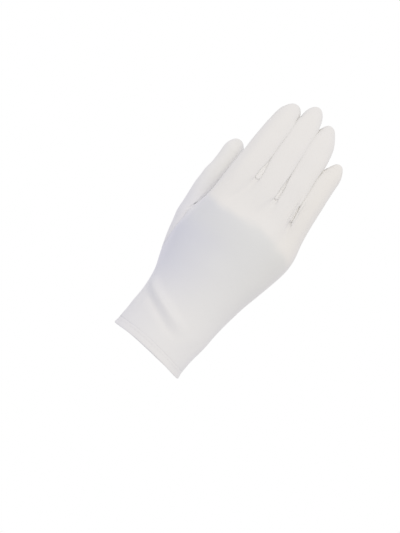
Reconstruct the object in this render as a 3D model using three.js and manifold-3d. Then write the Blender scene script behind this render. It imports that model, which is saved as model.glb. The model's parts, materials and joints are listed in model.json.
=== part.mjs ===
// White stretch-satin dress glove for the right hand, in the form it has when worn.
// Millimetres. +Z runs from the wrist opening to the fingertips, the back of the hand faces -Y,
// the thumb lies on the -X side and towards the palm. The origin is the centre of the wrist opening.
import * as THREE from 'three';
import { mergeVertices } from 'three/addons/utils/BufferGeometryUtils.js';
import Module from 'manifold-3d';

const wasm = await Module();
wasm.setup();

// Driving sizes of the cloth and its seams
const clothThickness = 1.4;
const seamGap = 0.3; // between two pieces that are sewn together
const fingerClearance = 0.5; // between two fingers that lie side by side
const hemHeight = 6;
const hemThickness = 2.1; // the cloth is folded up inside itself
const hemEdgeRadius = 0.6;
const clothColour = 0xf2f1f0;
const hemSlantDegrees = 9; // the opening is lower on the little finger's side

// Driving sizes of the hand form. Heights are above the centre of the wrist opening.
const gloveLength = 223; // to the tip of the middle finger
const cuffWidth = 63;
const cuffDepth = 43;
const wristHeight = 45;
const wristWidth = 66.4;
const wristDepth = 39;
const knuckleHeight = 108.7;
const knuckleWidth = 83.6;
const knuckleDepth = 29;
const fingerRootHeight = 112;
const fingerWidth = 18.4;
const fingerDepth = 17.4;

// Fingers, named from the thumb's side, with the tip's height as a share of gloveLength, and the width and
// depth as shares of the middle finger's. The middle line passes through rootX, midX and tipX, which are
// shares of knuckleWidth.
const fingers = [
  { name: 'index', tip: 0.968, width: 1.065, depth: 0.99, rootX: -0.218, midX: -0.175, tipX: -0.148 },
  { name: 'middle', tip: 1, width: 1, depth: 1, rootX: 0.08, midX: 0.045, tipX: 0.036 },
  { name: 'ring', tip: 0.974, width: 0.967, depth: 0.954, rootX: 0.325, midX: 0.256, tipX: 0.234 },
  { name: 'little', tip: 0.879, width: 0.859, depth: 0.851, rootX: 0.502, midX: 0.477, tipX: 0.478 },
];
const fingertipDome = 12;
const fingerSquareness = 2.15;
const domeFullness = 0.85; // under 1, a fingertip is blunter than a half ball
const crotchRise = 1.6; // over which two fingers part to their full clearance

// Strips sewn between the fingers. The seam makes a narrow U with its foot at one height, and the fingers
// part at the crotch. Both are shares of gloveLength.
const fourchettes = [
  { name: 'fourchette_index_middle', foot: 0.6695, crotch: 0.697 },
  { name: 'fourchette_middle_ring', foot: 0.648, crotch: 0.686 },
  { name: 'fourchette_ring_little', foot: 0.6125, crotch: 0.6525 },
];
const fourchetteHalfWidth = 2.4;
const fourchetteTopInset = 9; // from the shorter fingertip down to the strip's point

// Thumb, set into the side of the palm
const thumbWidth = 20.6;
const thumbDepth = 19.4;
const thumbTipHeight = 169.8;
const thumbTipDome = 13;
const thumbCrotchHeight = 106;
const ballTopDome = 11; // over which the ball fades, below the crotch and above it
const ballBlend = 6; // softness of the join between the ball of the thumb and the hand

// Seam round the thumb's root. It lies in an upright plane that faces the thumb, and its foot is a half oval.
const thumbSeamHeight = 60;
const thumbSeamFootRise = 24;
const thumbSeamHalfWidth = 18;
const thumbSeamTurnDegrees = 37; // from the thumb's side, -X, towards the palm
const thumbSeamDistance = 24.3; // from the Z axis out to the plane
const thumbSeamMiddle = -8; // of the half oval, along the plane

// Half the arc of a side, where the columns of the back end and those of the palm begin
const handSideTurn = 0.42;
const fingerSideTurn = 0.5;

// Mesh fineness
const fingerColumns = 4; // across the back of a finger, and across its palm side
const sideColumns = 3; // round each side of a finger and of the hand
const thumbSides = 16;
const rowStep = 9;
const domeRows = 3;
const crownRow = 0.6; // the crown's height above the last row, in rows
const footSteps = 10; // round the half oval of the thumb's seam
const footTurns = [0.15, 0.35, 0.6, 0.8, 1].map((share) => (share * Math.PI) / 2); // round a strip's foot
const outlineSteps = 9;
const sideSeamSteps = 24;
const cutReach = 160; // half the length of every cutting prism, which is past the whole glove

// Hand form: the opening, cuff, wrist, heel, palm, knuckles, webs and roots of the fingers. Heights are
// shares of knuckleHeight, x and y are the middle as shares of the knuckles' width and depth, and square is
// how squared the section is.
const wristShare = wristHeight / knuckleHeight;
const handSections = [
  { height: 0, width: cuffWidth, depth: cuffDepth, x: 0, y: 0, square: 2.1 },
  { height: 0.2, width: 1.02 * cuffWidth, depth: 0.95 * cuffDepth, x: 0.02, y: 0.02, square: 2.1 },
  { height: wristShare, width: wristWidth, depth: wristDepth, x: 0.052, y: 0.02, square: 2.15 },
  { height: 0.62, width: 0.88 * knuckleWidth, depth: 1.26 * knuckleDepth, x: 0.062, y: -0.03, square: 2.2 },
  { height: 0.83, width: knuckleWidth, depth: 1.12 * knuckleDepth, x: 0.084, y: -0.12, square: 2.4 },
  { height: 1, width: knuckleWidth, depth: knuckleDepth, x: 0.128, y: -0.2, square: 2.5 },
  { height: 1.2, width: 0.95 * knuckleWidth, depth: 0.8 * knuckleDepth, x: 0.13, y: -0.215, square: 2.6 },
  { height: 1.38, width: 0.915 * knuckleWidth, depth: 0.7 * knuckleDepth, x: 0.128, y: -0.2, square: 2.6 },
];

// Curl of the fingers towards the palm. Heights are shares of gloveLength, and y is the middle as a share
// of knuckleDepth.
const fingerCurl = [
  { height: 0.5, y: -0.205 },
  { height: 0.66, y: -0.2 },
  { height: 0.78, y: -0.13 },
  { height: 0.88, y: -0.03 },
  { height: 1, y: 0.14 },
];

// Fullness of a finger from its root, 0, to its tip, 1, as shares of its width and depth
const fingerFullness = [
  { along: 0, width: 1.08, depth: 1.12 },
  { along: 0.35, width: 1.07, depth: 1.06 },
  { along: 0.62, width: 1.02, depth: 1 },
  { along: 0.8, width: 0.98, depth: 0.93 },
  { along: 1, width: 0.9, depth: 0.84 },
];
const fingerMidShare = 0.72; // where along the finger its middle line passes through midX

// Ball of the thumb, which carries the cloth from the wrist out to the thumb. Heights are shares
// of thumbCrotchHeight, and the rest are shares of the thumb's width and depth.
const ballSections = [
  { height: 0.36, width: 1.4, depth: 1.2, midX: -0.52, midY: 0.12 },
  { height: 0.5, width: 1.6, depth: 1.6, midX: -0.63, midY: 0.28 },
  { height: 0.66, width: 1.9, depth: 1.65, midX: -0.78, midY: 0.38 },
  { height: 0.84, width: 2.02, depth: 1.45, midX: -0.99, midY: 0.4 },
  { height: 1, width: 1.75, depth: 1.15, midX: -1.18, midY: 0.34 },
];

// Thumb, with heights as shares of its tip's height and the rest as shares of its width and depth
const thumbSections = [
  { height: 0.34, width: 0.95, depth: 1, midX: -1, midY: 0.34 },
  { height: 0.5, width: 1.04, depth: 1.1, midX: -1.42, midY: 0.5 },
  { height: 0.62, width: 1.02, depth: 1.02, midX: -1.585, midY: 0.6 },
  { height: 0.76, width: 0.96, depth: 0.95, midX: -1.6, midY: 0.68 },
  { height: 0.88, width: 0.91, depth: 0.9, midX: -1.51, midY: 0.72 },
  { height: 1, width: 0.82, depth: 0.76, midX: -1.56, midY: 0.7 },
];

// Soft folds on the back, as lines in the front view. X is a share of the wrist's width from its middle,
// Z a share of its height, and each fold sinks the cloth by depth within spread of its line.
const folds = [
  { from: { x: -0.5, z: 1.06 }, to: { x: 0.04, z: 0.84 }, depth: 1.1, spread: 4 },
  { from: { x: -0.46, z: 0.98 }, to: { x: -0.38, z: 0.6 }, depth: 0.8, spread: 3.4 },
];

// A smooth function of height through one column of a table
function column(rows, heightOf, valueOf) {
  const heights = Float32Array.from(rows, heightOf);
  const curve = new THREE.CubicInterpolant(heights, Float32Array.from(rows, valueOf), 1);
  return (z) => curve.evaluate(THREE.MathUtils.clamp(z, heights[0], heights.at(-1)))[0];
}

const sectionHeight = (row) => row.height * knuckleHeight;
const handMidY = column(handSections, sectionHeight, (row) => row.y * knuckleDepth);
const curlMidY = column(fingerCurl, (row) => row.height * gloveLength, (row) => row.y * knuckleDepth);

// The middle of the hand's thickness, where the back and the palm are sewn together
function sideSeamY(z) {
  const share = THREE.MathUtils.smoothstep(z, knuckleHeight, fingerRootHeight + rowStep);
  return THREE.MathUtils.lerp(handMidY(z), curlMidY(z), share);
}

// How far a soft fold sinks the cloth at a place in the front view
function foldDepth(x, z) {
  const place = new THREE.Vector3(x, 0, z);
  const nearest = new THREE.Vector3();
  return folds.reduce((sum, fold) => {
    const line = new THREE.Line3(
      new THREE.Vector3(fold.from.x * wristWidth, 0, fold.from.z * wristHeight),
      new THREE.Vector3(fold.to.x * wristWidth, 0, fold.to.z * wristHeight),
    );
    line.closestPointToPoint(place, true, nearest);
    return sum + fold.depth * Math.exp(-((nearest.distanceTo(place) / fold.spread) ** 2));
  }, 0);
}

// Slants the opening and sinks the folds of the cuff
const hemSlope = Math.tan(THREE.MathUtils.degToRad(hemSlantDegrees));
function shapeCuff(point) {
  const fade = 1 - THREE.MathUtils.smoothstep(point.z, hemHeight, wristHeight * 1.2);
  if (point.y < handMidY(point.z)) point.y += foldDepth(point.x, point.z);
  point.z -= hemSlope * point.x * fade;
  return point;
}

// The forms that the cloth follows. Each gives its half sizes and middle at a height.
const hand = {
  halfWidth: column(handSections, sectionHeight, (row) => row.width / 2),
  halfDepth: column(handSections, sectionHeight, (row) => row.depth / 2),
  midX: column(handSections, sectionHeight, (row) => row.x * knuckleWidth),
  midY: sideSeamY,
  square: column(handSections, sectionHeight, (row) => row.square),
};

function fingerForm({ tip, width, depth, rootX, midX, tipX }) {
  const rowHeight = (row) => THREE.MathUtils.lerp(fingerRootHeight, tip * gloveLength, row.along);
  const middleLine = [
    { along: 0, x: rootX },
    { along: fingerMidShare, x: midX },
    { along: 1, x: tipX },
  ];
  return {
    halfWidth: column(fingerFullness, rowHeight, (row) => (row.width * width * fingerWidth) / 2),
    halfDepth: column(fingerFullness, rowHeight, (row) => (row.depth * depth * fingerDepth) / 2),
    midX: column(middleLine, rowHeight, (row) => row.x * knuckleWidth),
    midY: sideSeamY,
    square: () => fingerSquareness,
    top: tip * gloveLength,
  };
}

function thumbForm(rows, height) {
  return {
    halfWidth: column(rows, (row) => row.height * height, (row) => (row.width * thumbWidth) / 2),
    halfDepth: column(rows, (row) => row.height * height, (row) => (row.depth * thumbDepth) / 2),
    midX: column(rows, (row) => row.height * height, (row) => row.midX * thumbWidth),
    midY: column(rows, (row) => row.height * height, (row) => row.midY * thumbDepth),
    square: () => fingerSquareness,
    bottom: rows[0].height * height,
    top: height,
  };
}

const fingerForms = fingers.map(fingerForm);
const thumb = thumbForm(thumbSections, thumbTipHeight);
const ball = thumbForm(ballSections, thumbCrotchHeight);

// A place on a form's level section at a turn round it, drawn in by inset and then shrunk
function sectionPoint(form, turn, z, inset, shrink = 1) {
  const reach = 2 / form.square(z);
  const [c, s] = [Math.cos(turn), Math.sin(turn)];
  return new THREE.Vector3(
    form.midX(z) + (form.halfWidth(z) - inset) * shrink * Math.sign(c) * Math.abs(c) ** reach,
    form.midY(z) + (form.halfDepth(z) - inset) * shrink * Math.sign(s) * Math.abs(s) ** reach,
    z,
  );
}

// How far a ray from a place inside the hand runs before it leaves the ball of the thumb, or 0 if it misses
function ballReach(from, direction) {
  const { z } = from;
  const [halfWidth, halfDepth] = [ball.halfWidth(z), ball.halfDepth(z)];
  const start = new THREE.Vector2((from.x - ball.midX(z)) / halfWidth, (from.y - ball.midY(z)) / halfDepth);
  const run = new THREE.Vector2(direction.x / halfWidth, direction.y / halfDepth);
  const along = start.dot(run);
  const inside = along ** 2 - run.lengthSq() * (start.lengthSq() - 1);
  return inside > 0 ? Math.max(0, (Math.sqrt(inside) - along) / run.lengthSq()) : 0;
}

// The larger of two lengths, rounded over where they are nearly alike
function softMax(a, b, softness) {
  const share = THREE.MathUtils.clamp(0.5 + (a - b) / (2 * softness), 0, 1);
  return THREE.MathUtils.lerp(b, a, share) + softness * share * (1 - share);
}

// A place on the hand's section, pushed out where the ball of the thumb lies outside it
function handPoint(turn, z, inset) {
  const middle = new THREE.Vector3(hand.midX(z), hand.midY(z), z);
  const ray = sectionPoint(hand, turn, z, 0).sub(middle);
  const reach = ray.length();
  const direction = ray.normalize();
  const push = softMax(reach, ballReach(middle, direction), ballBlend) - reach;
  const fade = THREE.MathUtils.smoothstep(z, ball.top - ballTopDome, ball.top + ballTopDome);
  return sectionPoint(hand, turn, z, inset).addScaledVector(direction, push * (1 - fade));
}

// The line between two neighbouring fingers in the front view
function gapLine(place) {
  const [near, far] = [fingerForms[place], fingerForms[place + 1]];
  return (z) => (near.midX(z) + near.halfWidth(z) + far.midX(z) - far.halfWidth(z)) / 2;
}
const gapLines = fourchettes.map((_, place) => gapLine(place));

// A place on a finger's section, kept clear of the fingers beside it
function fingerPoint(finger, turn, z, inset, shrink = 1) {
  const place = sectionPoint(fingerForms[finger], turn, z, inset, shrink);
  const clear = fingerClearance / 2 + inset;
  if (finger > 0) place.x = Math.max(place.x, gapLines[finger - 1](z) + clear);
  if (finger < gapLines.length) place.x = Math.min(place.x, gapLines[finger](z) - clear);
  return place;
}

// Turns round a section, anticlockwise from above, in four arcs: the little finger's side, the palm,
// the thumb's side and the back. sideTurn is half the arc of a side.
function turnsRound(acrossColumns, sideTurn) {
  const arcs = [
    [-sideTurn, sideTurn, sideColumns],
    [sideTurn, Math.PI - sideTurn, acrossColumns],
    [Math.PI - sideTurn, Math.PI + sideTurn, sideColumns],
    [Math.PI + sideTurn, 2 * Math.PI - sideTurn, acrossColumns],
  ];
  return arcs.flatMap(([from, to, columns]) => (
    Array.from({ length: columns }, (_, step) => THREE.MathUtils.lerp(from, to, step / columns))
  ));
}
const handTurns = turnsRound(fingerColumns * fingers.length, handSideTurn);
const fingerTurns = turnsRound(fingerColumns, fingerSideTurn);

// The fingers that a column of the hand runs up into, each with the place in that finger's section
function columnsAbove(handColumn) {
  const across = fingerColumns * fingers.length;
  const palmEnd = sideColumns + across;
  const backStart = palmEnd + sideColumns;
  const last = fingers.length - 1;
  const column = handColumn % handTurns.length;
  const backColumn = sideColumns * 2 + fingerColumns;
  if (column > 0 && column < sideColumns) return [{ finger: last, column }];
  if (column > palmEnd && column < backStart) {
    return [{ finger: 0, column: column - palmEnd + sideColumns + fingerColumns }];
  }
  const onPalm = column >= sideColumns && column <= palmEnd;
  const step = onPalm ? column - sideColumns : (column === 0 ? across : column - backStart);
  return fingers.flatMap((_, finger) => {
    const start = onPalm ? (last - finger) * fingerColumns : finger * fingerColumns;
    if (step < start || step > start + fingerColumns) return [];
    const along = onPalm ? sideColumns + step - start : (backColumn + step - start) % fingerTurns.length;
    return [{ finger, column: along }];
  });
}

// Where the fingers part, for a column of the hand, as the mean of the crotches on either side of it
const crotches = fourchettes.map((strip) => strip.crotch * gloveLength);
const partings = [2 * crotches[0] - crotches[1], ...crotches, 2 * crotches.at(-1) - crotches.at(-2)];
function partingHeight(above) {
  const heights = above.map(({ finger, column }) => {
    const turn = fingerTurns[column];
    const share = (1 + Math.cos(turn) / Math.cos(fingerSideTurn)) / 2;
    return THREE.MathUtils.lerp(partings[finger], partings[finger + 1], THREE.MathUtils.clamp(share, 0, 1));
  });
  return heights.reduce((sum, height) => sum + height, 0) / heights.length;
}

// A place on the hand between the hem, 0, and the parting of the fingers, 1
function handPlace(column, rise, inset) {
  const above = columnsAbove(column);
  const top = partingHeight(above) - inset;
  const z = THREE.MathUtils.lerp(hemHeight + seamGap, top, rise);
  const share = THREE.MathUtils.smootherstep(z, knuckleHeight, top);
  const fingerPlaces = above.map((up) => fingerPoint(up.finger, fingerTurns[up.column], z, inset));
  const mean = fingerPlaces.reduce((sum, place) => sum.add(place), new THREE.Vector3());
  return handPoint(handTurns[column], z, inset).lerp(mean.divideScalar(above.length), share);
}

// Collects points and faces into one closed skin
function skinBuilder() {
  const points = [];
  const faces = [];
  return {
    point: (place) => points.push(place) - 1,
    band(low, high) {
      low.forEach((corner, side) => {
        const next = (side + 1) % low.length;
        faces.push(corner, low[next], high[next], corner, high[next], high[side]);
      });
    },
    cap(ring, middle, up) {
      ring.forEach((corner, side) => {
        const next = ring[(side + 1) % ring.length];
        faces.push(middle, up ? corner : next, up ? next : corner);
      });
    },
    geometry: () => new THREE.BufferGeometry().setFromPoints(points).setIndex(faces),
    points,
  };
}

// Rings from springing height up to a round crown
function addDome(skin, ringAt, lowRing, springing, dome, crown) {
  let ring = lowRing;
  for (let row = 1; row <= domeRows; row += 1) {
    const rise = (Math.PI / 2) * (row / (domeRows + crownRow));
    const next = ringAt(springing + dome * Math.sin(rise), Math.cos(rise) ** domeFullness).map(skin.point);
    skin.band(ring, next);
    ring = next;
  }
  skin.cap(ring, skin.point(crown), true);
}

// One finger, from the ring where it parts from its neighbours up to its tip
function addFinger(skin, finger, rootRing, inset) {
  const form = fingerForms[finger];
  const springing = form.top - fingertipDome;
  const dome = fingertipDome - inset;
  const roots = rootRing.map((corner) => skin.points[corner].z);
  const levels = Math.ceil((springing - Math.max(...roots)) / rowStep);
  let ring = rootRing;
  for (let level = 0; level <= levels; level += 1) {
    const next = fingerTurns.map((turn, side) => {
      const z = THREE.MathUtils.lerp(roots[side] + crotchRise, springing, level / levels);
      return skin.point(fingerPoint(finger, turn, z, inset));
    });
    skin.band(ring, next);
    ring = next;
  }
  const ringAt = (z, shrink) => fingerTurns.map((turn) => fingerPoint(finger, turn, z, inset, shrink));
  const crown = new THREE.Vector3(form.midX(form.top), form.midY(form.top), springing + dome);
  addDome(skin, ringAt, ring, springing, dome, crown);
}

// The hand and its four fingers as one closed skin, drawn in by inset, with rings at the feet's heights below
function handSkin(inset, feet) {
  const skin = skinBuilder();
  const levels = Math.ceil(crotches[0] / rowStep);
  const rings = [
    ...feet.map((z) => handTurns.map((turn) => skin.point(handPoint(turn, z, inset)))),
    ...Array.from({ length: levels + 1 }, (_, level) => (
      handTurns.map((_, column) => skin.point(handPlace(column, level / levels, inset)))
    )),
  ];
  rings.slice(1).forEach((ring, level) => skin.band(rings[level], ring));
  const bottom = skin.points[0].z;
  skin.points.forEach(shapeCuff);
  skin.cap(rings[0], skin.point(shapeCuff(new THREE.Vector3(0, hand.midY(bottom), bottom))), false);

  const top = rings.at(-1);
  const across = fingerColumns * fingers.length;
  const backStart = across + 2 * sideColumns;
  const backEdge = (gap) => top[(backStart + (gap + 1) * fingerColumns) % top.length];
  const palmEdge = (gap) => top[sideColumns + (fingers.length - 1 - gap) * fingerColumns];
  const bridges = crotches.map((_, gap) => {
    const [from, to] = [skin.points[backEdge(gap)], skin.points[palmEdge(gap)]];
    return Array.from({ length: sideColumns - 1 }, (_, step) => (
      skin.point(from.clone().lerp(to, (step + 1) / sideColumns))
    ));
  });
  fingers.forEach((_, finger) => {
    const palmStart = sideColumns + (fingers.length - 1 - finger) * fingerColumns;
    const start = backStart + finger * fingerColumns;
    const back = top.slice(start, start + fingerColumns);
    const isLast = finger === fingers.length - 1;
    const farSide = isLast ? top.slice(0, sideColumns) : [backEdge(finger), ...bridges[finger]];
    const palm = top.slice(palmStart, palmStart + fingerColumns);
    const nearSide = finger === 0
      ? top.slice(sideColumns + across, backStart)
      : [palmEdge(finger - 1), ...[...bridges[finger - 1]].reverse()];
    addFinger(skin, finger, [...farSide, ...palm, ...nearSide, ...back], inset);
  });
  return skin.geometry();
}

// The thumb as a closed skin, drawn in by inset, with its foot inside the ball of the thumb
function thumbSkin(inset) {
  const skin = skinBuilder();
  const springing = thumb.top - thumbTipDome;
  const levels = Math.ceil((springing - thumb.bottom) / rowStep);
  const turns = Array.from({ length: thumbSides }, (_, side) => (2 * Math.PI * (side + 0.5)) / thumbSides);
  const ringAt = (z, shrink) => turns.map((turn) => sectionPoint(thumb, turn, z, inset, shrink));
  const rings = Array.from({ length: levels + 1 }, (_, level) => (
    ringAt(THREE.MathUtils.lerp(thumb.bottom, springing, level / levels)).map(skin.point)
  ));
  rings.slice(1).forEach((ring, level) => skin.band(rings[level], ring));
  const foot = new THREE.Vector3(thumb.midX(thumb.bottom), thumb.midY(thumb.bottom), thumb.bottom);
  skin.cap(rings[0], skin.point(foot), false);
  const dome = thumbTipDome - inset;
  const crown = new THREE.Vector3(thumb.midX(thumb.top), thumb.midY(thumb.top), springing + dome);
  addDome(skin, ringAt, rings.at(-1), springing, dome, crown);
  return skin.geometry();
}

// A closed geometry as a solid that can be joined and cut
function solid(geometry) {
  const bare = geometry.index ? geometry.toNonIndexed() : geometry.clone();
  for (const name of Object.keys(bare.attributes)) {
    if (name !== 'position') bare.deleteAttribute(name);
  }
  const merged = mergeVertices(bare, 1e-4);
  return new wasm.Manifold(
    new wasm.Mesh({
      numProp: 3,
      vertProperties: merged.attributes.position.array,
      triVerts: Uint32Array.from(merged.index.array),
    }),
  );
}

// An outline in the front view, X and Z, as a prism through the whole glove
function frontPrism(shape) {
  const prism = new THREE.ExtrudeGeometry(shape, { depth: 2 * cutReach, bevelEnabled: false });
  return solid(prism.rotateX(Math.PI / 2).translate(0, cutReach, 0));
}

// An outline in the side view, Y and Z, as a prism through the whole glove
function sidePrism(shape) {
  const prism = new THREE.ExtrudeGeometry(shape, { depth: 2 * cutReach, bevelEnabled: false });
  const [x, y, z] = [new THREE.Vector3(1, 0, 0), new THREE.Vector3(0, 1, 0), new THREE.Vector3(0, 0, 1)];
  return solid(prism.applyMatrix4(new THREE.Matrix4().makeBasis(y, z, x)).translate(-cutReach, 0, 0));
}

// A narrow outline along a gap line, with a round foot, that runs out to a point at the top
function gapOutline(place, bottom, top, halfWidth) {
  const line = gapLines[place];
  const foot = footTurns.map((turn) => ({
    z: bottom + halfWidth * (1 - Math.cos(turn)),
    half: halfWidth * Math.sin(turn),
  }));
  const shank = Array.from({ length: outlineSteps }, (_, step) => {
    const share = (step + 1) / outlineSteps;
    const z = THREE.MathUtils.lerp(bottom + halfWidth, top, share);
    return { z, half: halfWidth * Math.sqrt(1 - share ** 2) };
  });
  const rows = [...foot, ...shank];
  const left = rows.map(({ z, half }) => new THREE.Vector2(line(z) - half, z)).reverse();
  const right = rows.slice(0, -1).map(({ z, half }) => new THREE.Vector2(line(z) + half, z));
  return new THREE.Shape([new THREE.Vector2(line(bottom), bottom), ...right, ...left]);
}

// The strip between two fingers, grown by a seam's gap where it is cut out of its neighbours
function strip(place, growth) {
  const shorter = Math.min(fingerForms[place].top, fingerForms[place + 1].top);
  const foot = fourchettes[place].foot * gloveLength - growth;
  const top = shorter - fourchetteTopInset + growth;
  return frontPrism(gapOutline(place, foot, top, fourchetteHalfWidth + growth));
}

// Everything on the back's side of the side seam, drawn back by half a seam's gap, or on the palm's side
function sideHalf(direction) {
  const seam = Array.from({ length: sideSeamSteps + 1 }, (_, step) => {
    const z = (step / sideSeamSteps) * gloveLength;
    return new THREE.Vector2(sideSeamY(z) + (direction * seamGap) / 2, z);
  });
  const far = direction * cutReach;
  const [below, above] = [-cutReach, gloveLength + cutReach];
  const outline = [
    new THREE.Vector2(far, below),
    new THREE.Vector2(seam[0].x, below),
    ...seam,
    new THREE.Vector2(seam.at(-1).x, above),
    new THREE.Vector2(far, above),
  ];
  return sidePrism(new THREE.Shape(outline));
}

// The space that belongs to the thumb's piece, grown by a seam's gap where it is cut out of its neighbours
function thumbSpace(growth) {
  const [halfWidth, footRise] = [thumbSeamHalfWidth + growth, thumbSeamFootRise + growth];
  const outline = new THREE.Shape();
  outline.absellipse(0, thumbSeamHeight + thumbSeamFootRise, halfWidth, footRise, Math.PI, 0, false, 0);
  outline.lineTo(halfWidth, gloveLength);
  outline.lineTo(-halfWidth, gloveLength);
  const extent = { depth: cutReach, bevelEnabled: false, curveSegments: footSteps };
  const prism = new THREE.ExtrudeGeometry(outline, extent).rotateX(Math.PI / 2).rotateZ(Math.PI);
  prism.translate(thumbSeamMiddle, thumbSeamDistance - growth, 0);
  return solid(prism.rotateZ(Math.PI / 2 - THREE.MathUtils.degToRad(thumbSeamTurnDegrees)));
}

// The whole worn form, as the outside of the cloth or, at the cloth's thickness, its inside
function wornForm(inset, feet = []) {
  return solid(handSkin(inset, feet)).add(solid(thumbSkin(inset)));
}

// The hem, a band of folded cloth round the opening
function hemBand() {
  const fold = (hemThickness - clothThickness) / 2;
  const outside = [
    { z: 0, inset: hemEdgeRadius - fold },
    { z: hemEdgeRadius, inset: -fold },
    { z: hemHeight, inset: -fold },
  ];
  const inside = [
    { z: -hemHeight, inset: clothThickness + fold },
    { z: 2 * hemHeight, inset: clothThickness + fold },
  ];
  const [outer, inner] = [outside, inside].map((rows) => {
    const skin = skinBuilder();
    const rings = rows.map(({ z, inset }) => (
      handTurns.map((turn) => skin.point(shapeCuff(sectionPoint(hand, turn, z, inset))))
    ));
    rings.slice(1).forEach((ring, row) => skin.band(rings[row], ring));
    const middle = ({ z }) => skin.point(shapeCuff(new THREE.Vector3(0, hand.midY(z), z)));
    skin.cap(rings[0], middle(rows[0]), false);
    skin.cap(rings.at(-1), middle(rows.at(-1)), true);
    return solid(skin.geometry());
  });
  return outer.subtract(inner);
}

// A piece without the slivers that its cuts leave
function mainBody(piece) {
  return piece.decompose().sort((one, other) => other.volume() - one.volume())[0];
}

// The cloth's pieces, cut out of the worn form
function clothPieces() {
  const cloth = wornForm(0).subtract(wornForm(clothThickness, [-hemHeight]));
  const pieces = { thumb: cloth.intersect(thumbSpace(0)) };
  let rest = cloth.subtract(thumbSpace(seamGap));
  fourchettes.forEach(({ name }, place) => {
    pieces[name] = rest.intersect(strip(place, 0));
  });
  fourchettes.forEach((_, place) => {
    rest = rest.subtract(strip(place, seamGap));
  });
  pieces.back_panel = rest.intersect(sideHalf(-1));
  pieces.palm_panel = rest.intersect(sideHalf(1));
  pieces.cuff_hem = hemBand();
  return pieces;
}

// A solid as a named mesh of white cloth
function clothMesh(name, piece) {
  const { vertProperties, triVerts } = piece.getMesh();
  const geometry = new THREE.BufferGeometry();
  geometry.setAttribute('position', new THREE.BufferAttribute(Float32Array.from(vertProperties), 3));
  geometry.setIndex(new THREE.BufferAttribute(Uint32Array.from(triVerts), 1));
  geometry.computeVertexNormals();
  const cloth = new THREE.MeshStandardMaterial({ color: clothColour, roughness: 0.6, metalness: 0 });
  const mesh = new THREE.Mesh(geometry, cloth);
  mesh.name = name;
  return mesh;
}

const glove = new THREE.Group();
for (const [name, piece] of Object.entries(clothPieces())) glove.add(clothMesh(name, mainBody(piece)));

export default glove;
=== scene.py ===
import json
import math
import bpy
import numpy as np
from mathutils import Matrix, Vector, kdtree

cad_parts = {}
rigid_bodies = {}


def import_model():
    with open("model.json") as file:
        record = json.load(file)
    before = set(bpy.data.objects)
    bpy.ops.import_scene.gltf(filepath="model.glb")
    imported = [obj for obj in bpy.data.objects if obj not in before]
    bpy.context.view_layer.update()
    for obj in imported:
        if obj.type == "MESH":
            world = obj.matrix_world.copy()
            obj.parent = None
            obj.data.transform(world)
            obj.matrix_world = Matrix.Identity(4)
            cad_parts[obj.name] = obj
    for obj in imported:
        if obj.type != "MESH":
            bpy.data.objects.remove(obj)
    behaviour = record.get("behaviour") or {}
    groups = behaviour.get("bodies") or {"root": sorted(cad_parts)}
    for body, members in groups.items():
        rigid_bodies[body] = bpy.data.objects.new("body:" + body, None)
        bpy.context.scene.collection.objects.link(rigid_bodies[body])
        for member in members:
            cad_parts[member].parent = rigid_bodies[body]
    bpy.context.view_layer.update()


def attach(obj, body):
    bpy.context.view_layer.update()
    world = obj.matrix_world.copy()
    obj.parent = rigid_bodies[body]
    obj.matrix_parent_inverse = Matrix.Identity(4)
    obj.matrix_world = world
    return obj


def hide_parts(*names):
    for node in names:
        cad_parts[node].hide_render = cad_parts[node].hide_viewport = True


# White stretch-satin dress glove for the right hand, as worn. The cloth is laid out in millimetres as
# rows of stations that follow the hand, smoothed, seamed and folded, then cut into its sewn pieces.
# +Z runs from the wrist opening to the fingertips, the back of the hand faces -Y, the thumb is at -X.

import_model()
millimetre = 0.001
print("frame loaded")


# Small helpers

# A smooth function through a table's column, level beyond its ends
def curveThrough(places, values):
    places, values = np.array(places, float), np.array(values, float)
    slopes = np.gradient(values, places)

    def at(place):
        place = np.clip(place, places[0], places[-1])
        low = np.clip(np.searchsorted(places, place, side="right") - 1, 0, len(places) - 2)
        step = places[low + 1] - places[low]
        t = (place - places[low]) / step
        start = (1 + 2 * t) * (1 - t) ** 2 * values[low] + t * (1 - t) ** 2 * step * slopes[low]
        end = t * t * (3 - 2 * t) * values[low + 1] - t * t * (1 - t) * step * slopes[low + 1]
        return start + end
    return at


def mix(low, high, share):
    return low + (high - low) * share


def ease(place, start, end):
    t = np.clip((place - start) / (end - start), 0, 1)
    return t * t * (3 - 2 * t)


# The hand inside the cloth

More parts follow.
